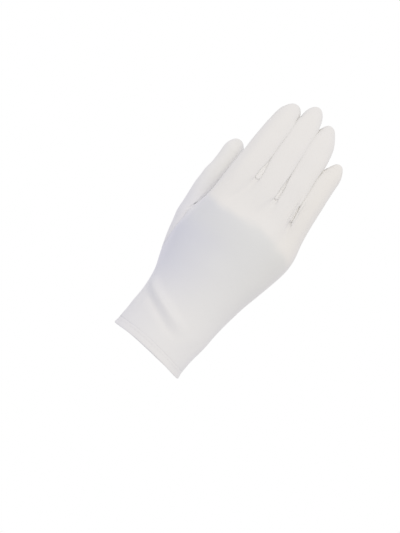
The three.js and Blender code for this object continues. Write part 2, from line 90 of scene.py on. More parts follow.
handShape = {
    "hemHeight": 6.3,
    "sideTurn": 0.42,  # half the arc of a side
    # height: width, depth, middle x, middle y, squareness
    "sections": {
        0: (63, 43, 0, 0, 2.1),
        21.7: (64.3, 40.9, 1.7, 0.6, 2.1),
        45: (66.4, 39, 4.4, 0.6, 2.15),
        67.4: (73.6, 36.5, 5.2, -0.9, 2.2),
        90.2: (83.6, 32.5, 7, -3.5, 2.4),
        108.7: (83.6, 29, 10.7, -5.8, 2.5),
        130.4: (79.4, 23.2, 10.9, -6.2, 2.6),
        150: (76.5, 20.3, 10.7, -5.8, 2.6),
    },
    "hemSlant": math.tan(math.radians(9)),
    "hemSlantFade": (6, 54),
    "fingersStart": 106,
    "curlFade": (108.7, 121),  # heights where the fingers' curl takes over
}
fingerShape = {
    # tip height, width, depth, middle x at the root, at midShare and at the tip
    "fingers": [
        (216.2, 19.6, 17.2, -18.2, -14.6, -12.0),
        (224.3, 18.4, 17.4, 6.7, 3.8, 2.9),
        (217.6, 17.8, 16.6, 27.2, 21.4, 19.0),
        (196.4, 15.8, 14.8, 42.0, 39.9, 40.6),
    ],
    "rootHeight": 112,
    "midShare": 0.72,
    # share of the length: share of the width, share of the depth
    "fullness": {0: (1.08, 1.12), 0.35: (1.07, 1.06), 0.62: (1.02, 1), 0.8: (0.98, 0.93), 1: (0.9, 0.84)},
    "curl": {111.5: -5.95, 147: -5.8, 174: -3.8, 196: -0.9, 223: 4.1},  # height: middle y
    "squareness": 2.2,
    "pressedSquareness": 3.4,
    "press": 2.2,  # how much wider a finger would be without its neighbour
    "dome": 14.5,
    "domeFullness": 0.95,
    "clearance": -0.45,  # from the line between two fingers; below 0 they overlap where they press
    "footHalfWidths": (1.6, 1.6, 1.4),  # half the strip's width at each foot
    "closings": (15, 13, 4),  # how far above the crotch the two seams meet
    "crotchSink": 0.15,  # how much of the valley between two fingers the cloth follows, as a share
    "feet": (152, 149.3, 144.5, 136.6, 131),  # where the seams between the fingers end, sides included
    "footRise": 0.8,  # how far a foot's corners lie above its level, and its middle below
    "footSink": 0.6,
    "crotches": (160, 156, 155.5, 148.5, 142),
    "rootRise": 2.2,  # how far above its root a finger's first ring lies
    "bridgeSink": 1,  # how far below the crotch a strip's middle lies
    "stripInset": 9,  # how far below the shorter fingertip a strip ends
    "stripOverrun": 3,
    "levels": 5,
    "domeBands": 3,
    "domeCap": 1.1,  # the cap's share of a dome, in bands
    # half the arc of a side, in radians, and how the seams close in on the tip
    "sideTurn": 0.66,
    "outerSideTurn": 0.55,
    "stripTopTurn": 0.36,
    "sideStation": 0.67,  # where a side's other two stations lie, from its middle to its ends
    "tipBackTurn": 0.42,
    "tipPalmTurn": 0.75,
    "tipSeamShift": 0.5,
    "narrowStart": 4,  # above the crotch
    "outerTipStart": 22,  # below the dome
    "tipReach": 6,  # above the dome's foot
    "pressedFade": (-6, 7),  # from the dome's foot
    "closingStart": -2,  # from the crotch
}
thumbShape = {
    # height: width, depth, middle x, middle y
    "sections": {
        57.7: (19.6, 19.4, -20.6, 6.6),
        84.9: (21.4, 21.3, -29.3, 9.7),
        105.3: (21, 19.8, -32.7, 11.6),
        129: (19.8, 18.4, -33, 13.2),
        149.4: (18.7, 17.5, -31.3, 14),
        171: (16.9, 14.7, -32.9, 13.6),
    },
    "squareness": 2.15,
    "top": 171,
    "dome": 13,
    "start": 124,  # height of the first level ring
    # the rows and columns of the hand that are left open for the thumb
    "rows": (6, 12),
    "columns": (40, 50),
    # the hole's corners in degrees round the thumb, at the root and at the tip
    "corners": (60, 200, 280, 370, 420),
    "tipCorners": (74, 186.5, 254, 366.5, 434),
    "rootRings": 5,
    "levels": 5,
    "twist": 70,  # degrees from the root to the tip
    "evening": 10,  # how far below the start the root's columns begin to even out
    # how the root's columns leave the hand and arrive at the first level ring, at its foot and at the crotch
    "outward": (0.35, 1.0),
    "upward": (0.9, 0.1),
    "leaving": (0.8, 0.5),
    "arriving": (1.0, 0.8),
    "relaxings": 3,
    # how the root is filled out to the ball: above its fade the ball counts narrower, the palm side is told
    # by the y of a direction, and the rise and fade are shares of the way to the first level ring
    "ballTop": 0.7,
    "fullSide": (-0.1, 0.5),
    "fullRise": (0, 0.3),
    "fullFade": (0.8, 1),
    "raySteps": (40, 0.25),  # how far and how finely the ball is looked for from inside the thumb
    "rounding": 0.9,  # 0 leaves the hole square, 1 makes it round
    "roundReach": 2.0,  # how far the rows bend round the hole, in half holes from its middle
    "roundMargin": 3,
}
ballShape = {
    # height: width, depth, middle x, middle y
    "sections": {
        38.2: (28.8, 23.3, -10.7, 2.3),
        53: (33, 31, -13, 5.4),
        70: (39.1, 32, -16.1, 7.4),
        89: (41.6, 28.1, -20.4, 7.8),
        106: (36, 22.3, -24.3, 6.6),
    },
    "squareness": 2,
    "fade": (95, 117),
    "blend": 6,
}


def formOf(sections, squareness=None):
    heights = list(sections)
    column = lambda k, scale=1.0: curveThrough(heights, [sections[h][k] * scale for h in heights])
    return {
        "halfWidth": column(0, 0.5), "halfDepth": column(1, 0.5), "midX": column(2), "midY": column(3),
        "square": column(4) if squareness is None else (lambda z: squareness),
    }


hand = formOf(handShape["sections"])
curlMiddle = curveThrough(list(fingerShape["curl"]), list(fingerShape["curl"].values()))
handMiddle = hand["midY"]


def middleY(z):
    return mix(handMiddle(z), curlMiddle(z), ease(z, *handShape["curlFade"]))


hand["midY"] = middleY
thumb = formOf(thumbShape["sections"], thumbShape["squareness"])
ball = formOf(ballShape["sections"], ballShape["squareness"])


def fingerForm(finger):
    tip, width, depth, rootX, midX, tipX = fingerShape["fingers"][finger]
    root = fingerShape["rootHeight"]
    shares = list(fingerShape["fullness"])
    heights = [mix(root, tip, share) for share in shares]
    rows = list(fingerShape["fullness"].values())
    return {
        "halfWidth": curveThrough(heights, [row[0] * width / 2 for row in rows]),
        "halfDepth": curveThrough(heights, [row[1] * depth / 2 for row in rows]),
        "midX": curveThrough([root, mix(root, tip, fingerShape["midShare"]), tip], [rootX, midX, tipX]),
        "midY": middleY,
        "square": lambda z: fingerShape["squareness"],
        "tip": tip,
    }


fingers = [fingerForm(finger) for finger in range(4)]


# A place on a form's level section at a turn round it
def sectionPoint(form, turn, z, shrink=1.0):
    reach = 2 / form["square"](z)
    c, s = math.cos(turn), math.sin(turn)
    return np.array([
        form["midX"](z) + form["halfWidth"](z) * shrink * math.copysign(abs(c) ** reach, c),
        form["midY"](z) + form["halfDepth"](z) * shrink * math.copysign(abs(s) ** reach, s),
        z,
    ])


# How far a ray from inside the hand runs before it leaves the ball of the thumb
def ballReach(start, direction, z):
    size = np.array([ball["halfWidth"](z), ball["halfDepth"](z)])
    middle = np.array([ball["midX"](z), ball["midY"](z)])
    place, run = (start[:2] - middle) / size, direction[:2] / size
    along, length = place @ run, run @ run
    inside = along ** 2 - length * (place @ place - 1)
    return max(0, (math.sqrt(inside) - along) / length) if inside > 0 else 0


# A place on the hand's section, pushed out by the ball of the thumb
def handPoint(turn, z):
    middle = np.array([hand["midX"](z), hand["midY"](z), z])
    place = sectionPoint(hand, turn, z)
    ray = place - middle
    reach = np.linalg.norm(ray)
    direction = ray / reach
    other = ballReach(middle, direction, z)
    share = min(1, max(0, 0.5 + (reach - other) / (2 * ballShape["blend"])))
    larger = mix(other, reach, share) + ballShape["blend"] * share * (1 - share)
    return place + direction * (larger - reach) * (1 - ease(z, *ballShape["fade"]))


# The x of the line between two fingers at a height
def gapLine(gap, z):
    near, far = fingers[gap], fingers[gap + 1]
    return (near["midX"](z) + near["halfWidth"](z) + far["midX"](z) - far["halfWidth"](z)) / 2


# Where the seams of the strip between two fingers meet
def stripTop(gap):
    return min(fingers[gap]["tip"], fingers[gap + 1]["tip"]) - fingerShape["stripInset"]


# A finger has sixteen stations: 0 to 4 on the back, 5 to 7 on the far side, away from the thumb, 8 to 12 on
# the palm side and 13 to 15 on the near side. The seams run at these: to the strips, two on each side, and
# where there is no strip along a side's middle
nearSeams, farSeams = (0, 12), (4, 8)
nearMiddle, farMiddle = 14, 6


# The sixteen turns round a finger at a height
def fingerTurns(finger, z):
    springing = fingers[finger]["tip"] - fingerShape["dome"]
    sides = []
    for gap in (finger - 1, finger):
        if 0 <= gap < 3:
            top = min(stripTop(gap), springing - fingerShape["stripOverrun"])
            narrow = ease(z, fingerShape["crotches"][gap + 1] + fingerShape["narrowStart"], top)
            half = mix(fingerShape["sideTurn"], fingerShape["stripTopTurn"], narrow)
            tipShare = ease(z, top, springing + fingerShape["tipReach"])
        else:
            half = fingerShape["outerSideTurn"]
            tipShare = ease(z, springing - fingerShape["outerTipStart"], springing + fingerShape["tipReach"])
        sides.append((
            fingerShape["tipSeamShift"] * tipShare,
            mix(half, fingerShape["tipBackTurn"], tipShare),
            mix(half, fingerShape["tipPalmTurn"], tipShare),
        ))
    (nearShift, nearBack, nearPalm), (farShift, farBack, farPalm) = sides
    backStart, backEnd = math.pi + nearShift + nearBack, 2 * math.pi - farShift - farBack
    palmStart, palmEnd = 2 * math.pi - farShift + farPalm, 3 * math.pi + nearShift - nearPalm
    far = 2 * math.pi - farShift
    near = 3 * math.pi + nearShift
    part = fingerShape["sideStation"]
    return (
        [mix(backStart, backEnd, k / 4) for k in range(5)]
        + [far - farBack * part, far, far + farPalm * part]
        + [mix(palmStart, palmEnd, k / 4) for k in range(5)]
        + [near - nearPalm * part, near, near + nearBack * part]
    )


# A place on a finger, squared and widened on the sides where it presses on its neighbour
def fingerPoint(finger, station, z, shrink=1.0):
    form, turn = fingers[finger], fingerTurns(finger, z)[station]
    place = sectionPoint(form, turn, z, shrink)
    c, s = math.cos(turn), math.sin(turn)
    if (c > 0 and finger < 3) or (c < 0 and finger > 0):
        springing = form["tip"] - fingerShape["dome"]
        amount = 1 - ease(z - springing, *fingerShape["pressedFade"])
        reach = 2 / fingerShape["pressedSquareness"]
        width = (form["halfWidth"](z) + fingerShape["press"]) * shrink
        pressed = np.array([
            form["midX"](z) + width * math.copysign(abs(c) ** reach, c),
            form["midY"](z) + form["halfDepth"](z) * shrink * math.copysign(abs(s) ** reach, s),
            z,
        ])
        place = mix(place, pressed, amount)
    for gap, side, seams in ((finger - 1, 1, nearSeams), (finger, -1, farSeams)):
        if 0 <= gap < 3:
            room = fingerShape["clearance"]
            if station in seams:
                above = z - fingerShape["crotches"][gap + 1]
                closed = ease(above, fingerShape["closingStart"], fingerShape["closings"][gap])
                room = mix(fingerShape["footHalfWidths"][gap], room, closed)
            limit = gapLine(gap, z) + side * room
            place[0] = max(place[0], limit) if side > 0 else min(place[0], limit)
    return place


# The cloth as one cage of four-sided faces

cageLayout = {
    "gapShare": 0.09,  # of a finger's width, from a seam beside a gap to the gap's middle
    "rows": 16,
    "valleyStart": 14,  # how far below the crotch the cloth begins to sink between two fingers
    "palmColumns": (24, 50),
    "fingerStep": 6,  # stations from one finger to the next: five on the finger and one under the gap
    # the first station of the little finger's far side, of its palm side and of the index's near side
    "farStart": 23,
    "palmStart": 26,
    "nearStart": 49,
}
backId, palmId, stripIds, thumbIds = 0, 1, (2, 3, 4), (5, 6)  # the thumb has a seam between its two halves


# The finger stations above each station of one face of the hand, two where it lies under a gap
def stationsAbove(onFinger, besideGap):
    above = []
    for finger in range(4):
        above += [[(finger, onFinger(k))] for k in range(5)]
        if finger < 3:
            above.append([(finger, besideGap[0]), (finger + 1, besideGap[1])])
    return above


# The 52 stations round the hand, each with its turn, the finger stations above it and its gap, if any
def handStations():
    stations = []

    def add(turn, above, palm=False):
        gap = above[0][0] if len(above) > 1 else None
        stations.append({"turn": turn, "above": above, "gap": gap, "palm": palm})

    shares = []
    for finger in range(4):
        low = 0 if finger == 0 else cageLayout["gapShare"]
        high = 1 if finger == 3 else 1 - cageLayout["gapShare"]
        shares += [(finger + mix(low, high, k / 4)) / 4 for k in range(5)]
        if finger < 3:
            shares.append((finger + 1) / 4)
    side = handShape["sideTurn"]
    across = math.pi - 2 * side
    for share, above in zip(shares, stationsAbove(lambda k: k, (5, 15))):
        add(math.pi + side + share * across, above)
    for k in range(3):
        add(2 * math.pi + side * (k - 1) / 2, [(3, 5 + k)])
    for share, above in reversed(list(zip(shares, stationsAbove(lambda k: 12 - k, (7, 13))))):
        add(3 * math.pi - side - share * across, above, True)
    for k in range(3):
        add(3 * math.pi + side * (k - 1) / 2, [(0, 13 + k)])
    return stations


stations = handStations()


# The heights at which a station meets the seams' feet and the fingers' parting
def stationHeight(station, levels):
    if station["gap"] is not None:
        return levels[station["gap"] + 1]
    finger, place = station["above"][0]
    if place <= 4:
        share = place / 4
    elif place <= 7:
        share = 1
    elif place <= 12:
        share = (12 - place) / 4
    else:
        share = 0
    return mix(levels[finger], levels[finger + 1], share)


# Where the cloth lies at a station and a height: on the hand below, on the fingers above
def handTarget(station, z):
    parting = stationHeight(station, fingerShape["crotches"])
    start = handShape["fingersStart"]
    t = min(1, max(0, (z - start) / (parting - start)))
    share = t * t * t * (t * (6 * t - 15) + 10)
    places = [fingerPoint(finger, place, z) for finger, place in station["above"]]
    target = sum(places) / len(places)
    if station["gap"] is not None:  # the cloth bridges the valley between two fingers to just below the foot
        gap, face = station["gap"], int(station["palm"])
        bridge = (fingerPoint(gap, farSeams[face], z) + fingerPoint(gap + 1, nearSeams[face], z)) / 2
        sink = fingerShape["crotchSink"] * ease(z, parting - cageLayout["valleyStart"], parting)
        target = mix(bridge, target, sink)
    return mix(handPoint(station["turn"], z), target, share)


# The places of the cage, its four-sided faces and the id of the sewn piece that each face belongs to
class Cage:
    def __init__(self):
        self.points, self.quads, self.ids = [], [], []

    def point(self, place):
        self.points.append(np.array(place, float))
        return len(self.points) - 1

    def quad(self, corners, pieceId):
        self.quads.append(corners)
        self.ids.append(pieceId)

    def band(self, low, high, idOf):
        for k in range(len(low)):
            n = (k + 1) % len(low)
            self.quad((low[k], low[n], high[n], high[k]), idOf(k))

    # Closes a ring of four sides, wide by deep, with a grid whose inner places come from placeAt
    def cap(self, ring, wide, deep, placeAt, idOf):
        grid = [[None] * (wide + 1) for _ in range(deep + 1)]
        for k in range(wide + 1):
            grid[0][k] = ring[k]
            grid[deep][k] = ring[(2 * wide + deep - k) % len(ring)]
        for k in range(deep + 1):
            grid[k][wide] = ring[wide + k]
            grid[k][0] = ring[-k % len(ring)]
        at = lambda j, k: self.points[grid[j][k]]
        for j in range(1, deep):
            for k in range(1, wide):
                s, t = k / wide, j / deep
                edges = mix(at(j, 0), at(j, wide), s) + mix(at(0, k), at(deep, k), t)
                corners = mix(mix(at(0, 0), at(0, wide), s), mix(at(deep, 0), at(deep, wide), s), t)
                grid[j][k] = self.point(placeAt(edges - corners))
        for j in range(deep):
            for k in range(wide):
                self.quad((grid[j][k], grid[j][k + 1], grid[j + 1][k + 1], grid[j + 1][k]), idOf(j, k))


# Turns a place over a dome's plan into one on the dome
def onDome(form, dome):
    springing = form["top"] - dome

    def at(place):
        x = (place[0] - form["midX"](form["top"])) / form["halfWidth"](form["top"])
        y = (place[1] - form["midY"](form["top"])) / form["halfDepth"](form["top"])
        radius = min(1, math.hypot(x, y))
        rise = math.acos(min(1, radius ** (1 / fingerShape["domeFullness"])))
        return np.array([place[0], place[1], springing + dome * math.sin(rise)])
    return at


# Closes a finger or the thumb with shrinking rings and a cap of wide by deep faces
def addDome(cage, ring, ringAt, springing, dome, wide, deep, form, bandId, capId):
    bands = fingerShape["domeBands"]
    for row in range(1, bands + 1):
        rise = math.pi / 2 * row / (bands + fingerShape["domeCap"])
        z = springing + dome * math.sin(rise)
        following = [cage.point(place) for place in ringAt(z, math.cos(rise) ** fingerShape["domeFullness"])]
        cage.band(ring, following, bandId)
        ring = following
    cage.cap(ring, wide, deep, onDome({**form, "top": springing + dome}, dome), capId)


# Builds a finger up from its ring of sixteen places at the root
def addFinger(cage, finger, ring):
    form = fingers[finger]
    springing = form["tip"] - fingerShape["dome"]
    roots = [cage.points[corner][2] for corner in ring]
    levels = fingerShape["levels"]

    def faceId(k):
        return backId if k < farMiddle or k >= nearMiddle else palmId

    def idAt(k, z):
        onFarSide = farSeams[0] <= k < farSeams[1]
        gap = finger if onFarSide else finger - 1
        if (onFarSide or k >= nearSeams[1]) and 0 <= gap < 3:
            if z < min(stripTop(gap), springing) + fingerShape["stripOverrun"]:
                return stripIds[gap]
        return faceId(k)

    for level in range(levels + 1):
        following = []
        for station in range(16):
            z = mix(roots[station] + fingerShape["rootRise"], springing, level / levels)
            following.append(cage.point(fingerPoint(finger, station, z)))
        top = mix(max(roots), springing, level / levels)
        cage.band(ring, following, lambda k: idAt(k, top))
        ring = following
    ringAt = lambda z, shrink: [fingerPoint(finger, station, z, shrink) for station in range(16)]
    addDome(cage, ring, ringAt, springing, fingerShape["dome"], 4, 4, form, faceId,
            lambda j, k: backId if j < 2 else palmId)


# Moves a place of the thumb's root out to the ball of the thumb, where the palm side would sink below it
def fullRoot(place, t):
    z = place[2]
    middle = np.array([thumb["midX"](z), thumb["midY"](z)])
    reach = np.linalg.norm(place[:2] - middle)
    direction = (place[:2] - middle) / reach
    shrink = mix(1, thumbShape["ballTop"], ease(z, *ballShape["fade"]))
    steps = np.arange(0, *thumbShape["raySteps"])
    trail = middle + steps[:, None] * direction
    other = 0
    for form, scale in ((ball, shrink), (thumb, 1.0), (hand, 1.0)):
        square = form["square"](z)
        across = np.abs(trail[:, 0] - form["midX"](z)) / (form["halfWidth"](z) * scale)
        over = np.abs(trail[:, 1] - form["midY"](z)) / (form["halfDepth"](z) * scale)
        inside = across ** square + over ** square <= 1
        if inside.any():
            other = max(other, steps[inside].max())
    amount = ease(direction[1], *thumbShape["fullSide"])
    amount *= ease(t, *thumbShape["fullRise"]) * (1 - ease(t, *thumbShape["fullFade"]))
    full = place.copy()
    full[:2] += direction * (other - reach) * amount
    return full


# Rounds the square hole that the thumb grows from, and gives the cloth's outward direction round it
def roundRoot(cage, rows, ringPlaces):
    (lowRow, highRow), (lowCol, highCol) = thumbShape["rows"], thumbShape["columns"]
    grid = np.array([[cage.points[corner] for corner in row] for row in rows])
    count = len(stations)

    def gridPlace(row, column):
        low, left = int(math.floor(row)), int(math.floor(column))
        up, over = row - low, column - left
        corner = lambda j, k: grid[min(j, len(rows) - 1), k % count]
        return mix(mix(corner(low, left), corner(low, left + 1), over),
                   mix(corner(low + 1, left), corner(low + 1, left + 1), over), up)

    middleRow, middleCol = (lowRow + highRow) / 2, (lowCol + highCol) / 2
    halfRows, halfCols = (highRow - lowRow) / 2, (highCol - lowCol) / 2
    reach = thumbShape["roundReach"]

    def rounded(row, column):
        a, b = (column - middleCol) / halfCols, (row - middleRow) / halfRows
        size = max(abs(a), abs(b))
        edgeA, edgeB = a / size, b / size
        onCircle = math.hypot(edgeA * math.sqrt(1 - edgeB ** 2 / 2), edgeB * math.sqrt(1 - edgeA ** 2 / 2))
        pull = mix(1, onCircle / math.hypot(edgeA, edgeB), thumbShape["rounding"])
        scale = mix(pull, 1, min(1, max(0, (size - 1) / (reach - 1))))
        return middleRow + b * scale * halfRows, middleCol + a * scale * halfCols

    margin = thumbShape["roundMargin"]
    for row in range(lowRow - margin, highRow + margin + 1):
        for column in range(lowCol - margin, highCol + margin + 1):
            a, b = (column - middleCol) / halfCols, (row - middleRow) / halfRows
            if 1 <= max(abs(a), abs(b)) + 1e-9:
                cage.points[rows[row][column % count]] = gridPlace(*rounded(row, column))
    outwards = []
    for row, column in ringPlaces:
        row, column = rounded(row, column)
        across = gridPlace(row, column + 0.5) - gridPlace(row, column - 0.5)
        up = gridPlace(row + 0.5, column) - gridPlace(row - 0.5, column)
        outward = np.cross(across, up)
        outwards.append(outward / np.linalg.norm(outward))
    return outwards


# Lofts the thumb from its hole in the hand to its first level ring, then builds it up and closes it
def addThumb(cage, rows):
    (lowRow, highRow), (lowCol, highCol) = thumbShape["rows"], thumbShape["columns"]
    ringPlaces = [(lowRow, c) for c in range(lowCol, highCol)]
    ringPlaces += [(r, highCol) for r in range(lowRow, highRow)]
    ringPlaces += [(highRow, c) for c in range(highCol, lowCol, -1)]
    ringPlaces += [(r, lowCol) for r in range(highRow, lowRow, -1)]
    ring = [rows[r][c] for r, c in ringPlaces]
    outwards = roundRoot(cage, rows, ringPlaces)
    wide, deep = highCol - lowCol, highRow - lowRow
    rootTurns, tipTurns = [], []
    for turns, corners in ((rootTurns, thumbShape["corners"]), (tipTurns, thumbShape["tipCorners"])):
        for side, count in enumerate((wide, deep, wide, deep)):
            turns += [math.radians(mix(corners[side], corners[side + 1], k / count)) for k in range(count)]
    springing = thumbShape["top"] - thumbShape["dome"]
    start = thumbShape["start"]

    def ringAt(z, shrink=1.0):
        even = ease(z, start - thumbShape["evening"], springing)
        twist = math.radians(thumbShape["twist"]) * even
        turns = [mix(root, tip, even) + twist for root, tip in zip(rootTurns, tipTurns)]
        return [sectionPoint(thumb, turn, z, shrink) for turn in turns]

    def bandId(k):
        return thumbIds[0] if wide // 2 <= k < 2 * wide + deep - wide // 2 else thumbIds[1]

    base = [cage.points[corner] for corner in ring]
    lowZ, highZ = min(place[2] for place in base), max(place[2] for place in base)
    goals = ringAt(start)
    rings = [ring]
    for level in range(1, thumbShape["rootRings"] + 1):
        t = level / thumbShape["rootRings"]
        t2, t3 = t ** 2, t ** 3
        weights = (2 * t3 - 3 * t2 + 1, t3 - 2 * t2 + t, 3 * t2 - 2 * t3, t3 - t2)
        following = []
        for place, goal, outward in zip(base, goals, outwards):
            rise = (place[2] - lowZ) / (highZ - lowZ)
            run = np.linalg.norm(goal - place)
            upward = np.array([0, 0, mix(*thumbShape["upward"], rise)])
            leave = outward * mix(*thumbShape["outward"], rise) + upward
            leave *= run * mix(*thumbShape["leaving"], rise) / np.linalg.norm(leave)
            arrive = np.array([0, 0, 1.0]) * run * mix(*thumbShape["arriving"], rise)
            lofted = weights[0] * place + weights[1] * leave + weights[2] * goal + weights[3] * arrive
            following.append(cage.point(fullRoot(lofted, t)))
        cage.band(ring, following, bandId)
        rings.append(following)
        ring = following
    for _ in range(thumbShape["relaxings"]):
        for low, middle, high in zip(rings, rings[1:], rings[2:]):
            places = np.array([cage.points[corner] for corner in middle])
            beside = np.roll(places, 1, axis=0) + np.roll(places, -1, axis=0)
            along = np.array([cage.points[a] + cage.points[b] for a, b in zip(low, high)])
            for corner, place in zip(middle, (2 * places + beside + along) / 6):
                cage.points[corner] = place
    for level in range(1, thumbShape["levels"] + 1):
        z = mix(start, springing, level / thumbShape["levels"])
        following = [cage.point(place) for place in ringAt(z)]
        cage.band(ring, following, bandId)
        ring = following
    addDome(cage, ring, ringAt, springing, thumbShape["dome"], wide, deep, thumb, bandId,
            lambda j, k: thumbIds[0] if k >= wide // 2 else thumbIds[1])


# The whole cage: rows up the hand, the thumb in its hole and a finger on each part of the top row
def buildCage():
    cage = Cage()
    rows = []
    lastRow = cageLayout["rows"]
    for row in range(lastRow + 2):
        ring = []
        for station in stations:
            if row <= lastRow:
                foot = stationHeight(station, fingerShape["feet"])
                z = mix(handShape["hemHeight"], foot, row / lastRow)
            else:
                z = stationHeight(station, fingerShape["crotches"])
            ring.append(cage.point(handTarget(station, z)))
        rows.append(ring)
    # each seam between two fingers ends in a narrow round foot
    for c, station in enumerate(stations):
        if station["gap"] is None:
            continue
        middle = cage.points[rows[lastRow][c]]
        for beside in (c - 1, c + 1):
            corner = cage.points[rows[lastRow][beside]]
            half = fingerShape["footHalfWidths"][station["gap"]]
            corner[0] = middle[0] + math.copysign(half, corner[0] - middle[0])
            corner[2] += fingerShape["footRise"]
        middle[2] -= fingerShape["footSink"]

    (lowRow, highRow), (lowCol, highCol) = thumbShape["rows"], thumbShape["columns"]
    count = len(stations)
    palmFirst, palmLast = cageLayout["palmColumns"]
    for row in range(lastRow + 1):
        for c in range(count):
            if lowRow <= row < highRow and lowCol <= c < highCol:
                continue
            following = (c + 1) % count
            pieceId = palmId if palmFirst <= c < palmLast else backId
            gap = stations[c]["gap"] if stations[c]["gap"] is not None else stations[following]["gap"]
            if row == lastRow and gap is not None:
                pieceId = stripIds[gap]
            corners = (rows[row][c], rows[row][following], rows[row + 1][following], rows[row + 1][c])
            cage.quad(corners, pieceId)
    addThumb(cage, rows)

    top = rows[-1]
    step, farStart, nearStart = (cageLayout[name] for name in ("fingerStep", "farStart", "nearStart"))
    backStarts = [step * finger for finger in range(4)]
    palmStarts = [cageLayout["palmStart"] + step * (3 - finger) for finger in range(4)]
    between = []  # the three places between two fingers: back, middle, palm
    for gap in range(3):
        z = fingerShape["crotches"][gap + 1] - fingerShape["bridgeSink"]
        bridge = cage.point((fingerPoint(gap, farMiddle, z) + fingerPoint(gap + 1, nearMiddle, z)) / 2)
        between.append([top[backStarts[gap] + 5], bridge, top[palmStarts[gap] - 1]])
    for finger, (backStart, palmStart) in enumerate(zip(backStarts, palmStarts)):
        back = top[backStart:backStart + 5]
        palm = top[palmStart:palmStart + 5]
        far = top[farStart:farStart + 3] if finger == 3 else between[finger]
        near = top[nearStart:nearStart + 3] if finger == 0 else between[finger - 1][::-1]
        addFinger(cage, finger, [*back, *far, *palm, *near])
    return cage


# The cage's places and faces without the places that no face uses
def tidied(cage):
    quads = np.array(cage.quads)
    used, renamed = np.unique(quads.ravel(), return_inverse=True)
    return np.array(cage.points)[used], renamed.reshape(-1, 4)


# Moves the cage out until the smoothed cloth passes through the places that were asked for
def fitCage(targets, quads, rounds):
    pairs = np.sort(np.concatenate([quads[:, [k, (k + 1) % 4]] for k in range(4)]), axis=1)
    edges, uses = np.unique(pairs, axis=0, return_counts=True)
    rim = edges[uses == 1]
    onRim = np.zeros(len(targets), bool)
    onRim[rim.ravel()] = True
    valence = np.bincount(edges.ravel(), minlength=len(targets))[:, None]
    places = targets.copy()
    for _ in range(rounds):
        around, across, beside = np.zeros_like(places), np.zeros_like(places), np.zeros_like(places)
        for a, b in ((0, 1), (1, 0)):
            np.add.at(around, edges[:, a], places[edges[:, b]])
            np.add.at(beside, rim[:, a], places[rim[:, b]])
        for k in range(4):
            np.add.at(across, quads[:, k], places[quads[:, (k + 2) % 4]])
        # where smoothing would bring each place, inside and on the rim
        smooth = (valence ** 2 * places + 4 * around + across) / (valence * (valence + 5))
        smooth[onRim] = (4 * places[onRim] + beside[onRim]) / 6
        places += targets - smooth
    return places


def meshFrom(name, points, faces, ids=None):
    mesh = bpy.data.meshes.new(name)
    mesh.from_pydata([tuple(p) for p in np.array(points) * millimetre], [], [tuple(f) for f in faces])
    if ids is not None:
        for _ in range(max(ids) + 1):
            mesh.materials.append(None)
        mesh.polygons.foreach_set("material_index", np.array(ids, np.int32))
    mesh.polygons.foreach_set("use_smooth", np.ones(len(mesh.polygons), bool))
    return mesh


def setPlaces(mesh, points):
    mesh.vertices.foreach_set("co", (points * millimetre).astype(np.float32).ravel())
    mesh.update()


def addObject(name, mesh):
    piece = bpy.data.objects.new(name, mesh)
    bpy.context.scene.collection.objects.link(piece)
    return piece


# A copy of an object's mesh with its modifiers worked in; the object itself is removed
def bake(piece):
    bpy.context.view_layer.update()
    graph = bpy.context.evaluated_depsgraph_get()
    mesh = bpy.data.meshes.new_from_object(piece.evaluated_get(graph), preserve_all_data_layers=True,
                                           depsgraph=graph)
    bpy.data.objects.remove(piece)
    return mesh


def smoothed(name, points, faces, ids, levels):
    rough = addObject(name, meshFrom(name, points, faces, ids))
    smooth = rough.modifiers.new("smooth", "SUBSURF")
    smooth.levels = smooth.render_levels = levels
    return bake(rough)


cage = buildCage()
targets, quads = tidied(cage)
clothMesh = smoothed("cloth", fitCage(targets, quads, rounds=6), quads, cage.ids, levels=3)
print("cage", len(quads), "faces; cloth", len(clothMesh.polygons), "faces")


# Seams, folds and the worn shape of the cloth

def meshArrays(mesh):
    count = len(mesh.vertices)
    points = np.empty(count * 3, np.float32)
    mesh.vertices.foreach_get("co", points)
    normals = np.empty(count * 3, np.float32)
    mesh.vertex_normals.foreach_get("vector", normals)
    faces = np.empty(len(mesh.loops), np.int32)
    mesh.loops.foreach_get("vertex_index", faces)
    ids = np.empty(len(mesh.polygons), np.int32)
    mesh.polygons.foreach_get("material_index", ids)
    points = points.reshape(-1, 3).astype(float) / millimetre
    return points, normals.reshape(-1, 3).astype(float), faces.reshape(-1, 4), ids


points, normals, faces, ids = meshArrays(clothMesh)


# The edges where two sewn pieces meet, as pairs of places
def seamEdges(faces, ids):
    pairs = np.concatenate([faces[:, [k, (k + 1) % 4]] for k in range(4)])
    owner = np.tile(ids, 4)
    pairs = np.sort(pairs, axis=1)
    order = np.lexsort((pairs[:, 1], pairs[:, 0]))
    pairs, owner = pairs[order], owner[order]
    same = (pairs[1:] == pairs[:-1]).all(1) & (owner[1:] != owner[:-1])
    return pairs[1:][same]


seamShape = {"depth": 0.2, "width": 0.5, "puff": 0.08, "puffAt": 1.5, "puffWidth": 0.8, "samples": 5}


# Each vertex's distance to the nearest seam, in millimetres, up to reach
def seamDistance(points, edges, reach=4.0):
    shares = np.linspace(0, 1, seamShape["samples"], endpoint=False)
    samples = np.concatenate([mix(points[edges[:, 0]], points[edges[:, 1]], s) for s in shares])
    tree = kdtree.KDTree(len(samples))
    for k, place in enumerate(samples):
        tree.insert(place, k)
    tree.balance()
    return np.array([min(reach, tree.find(place)[2]) for place in points])


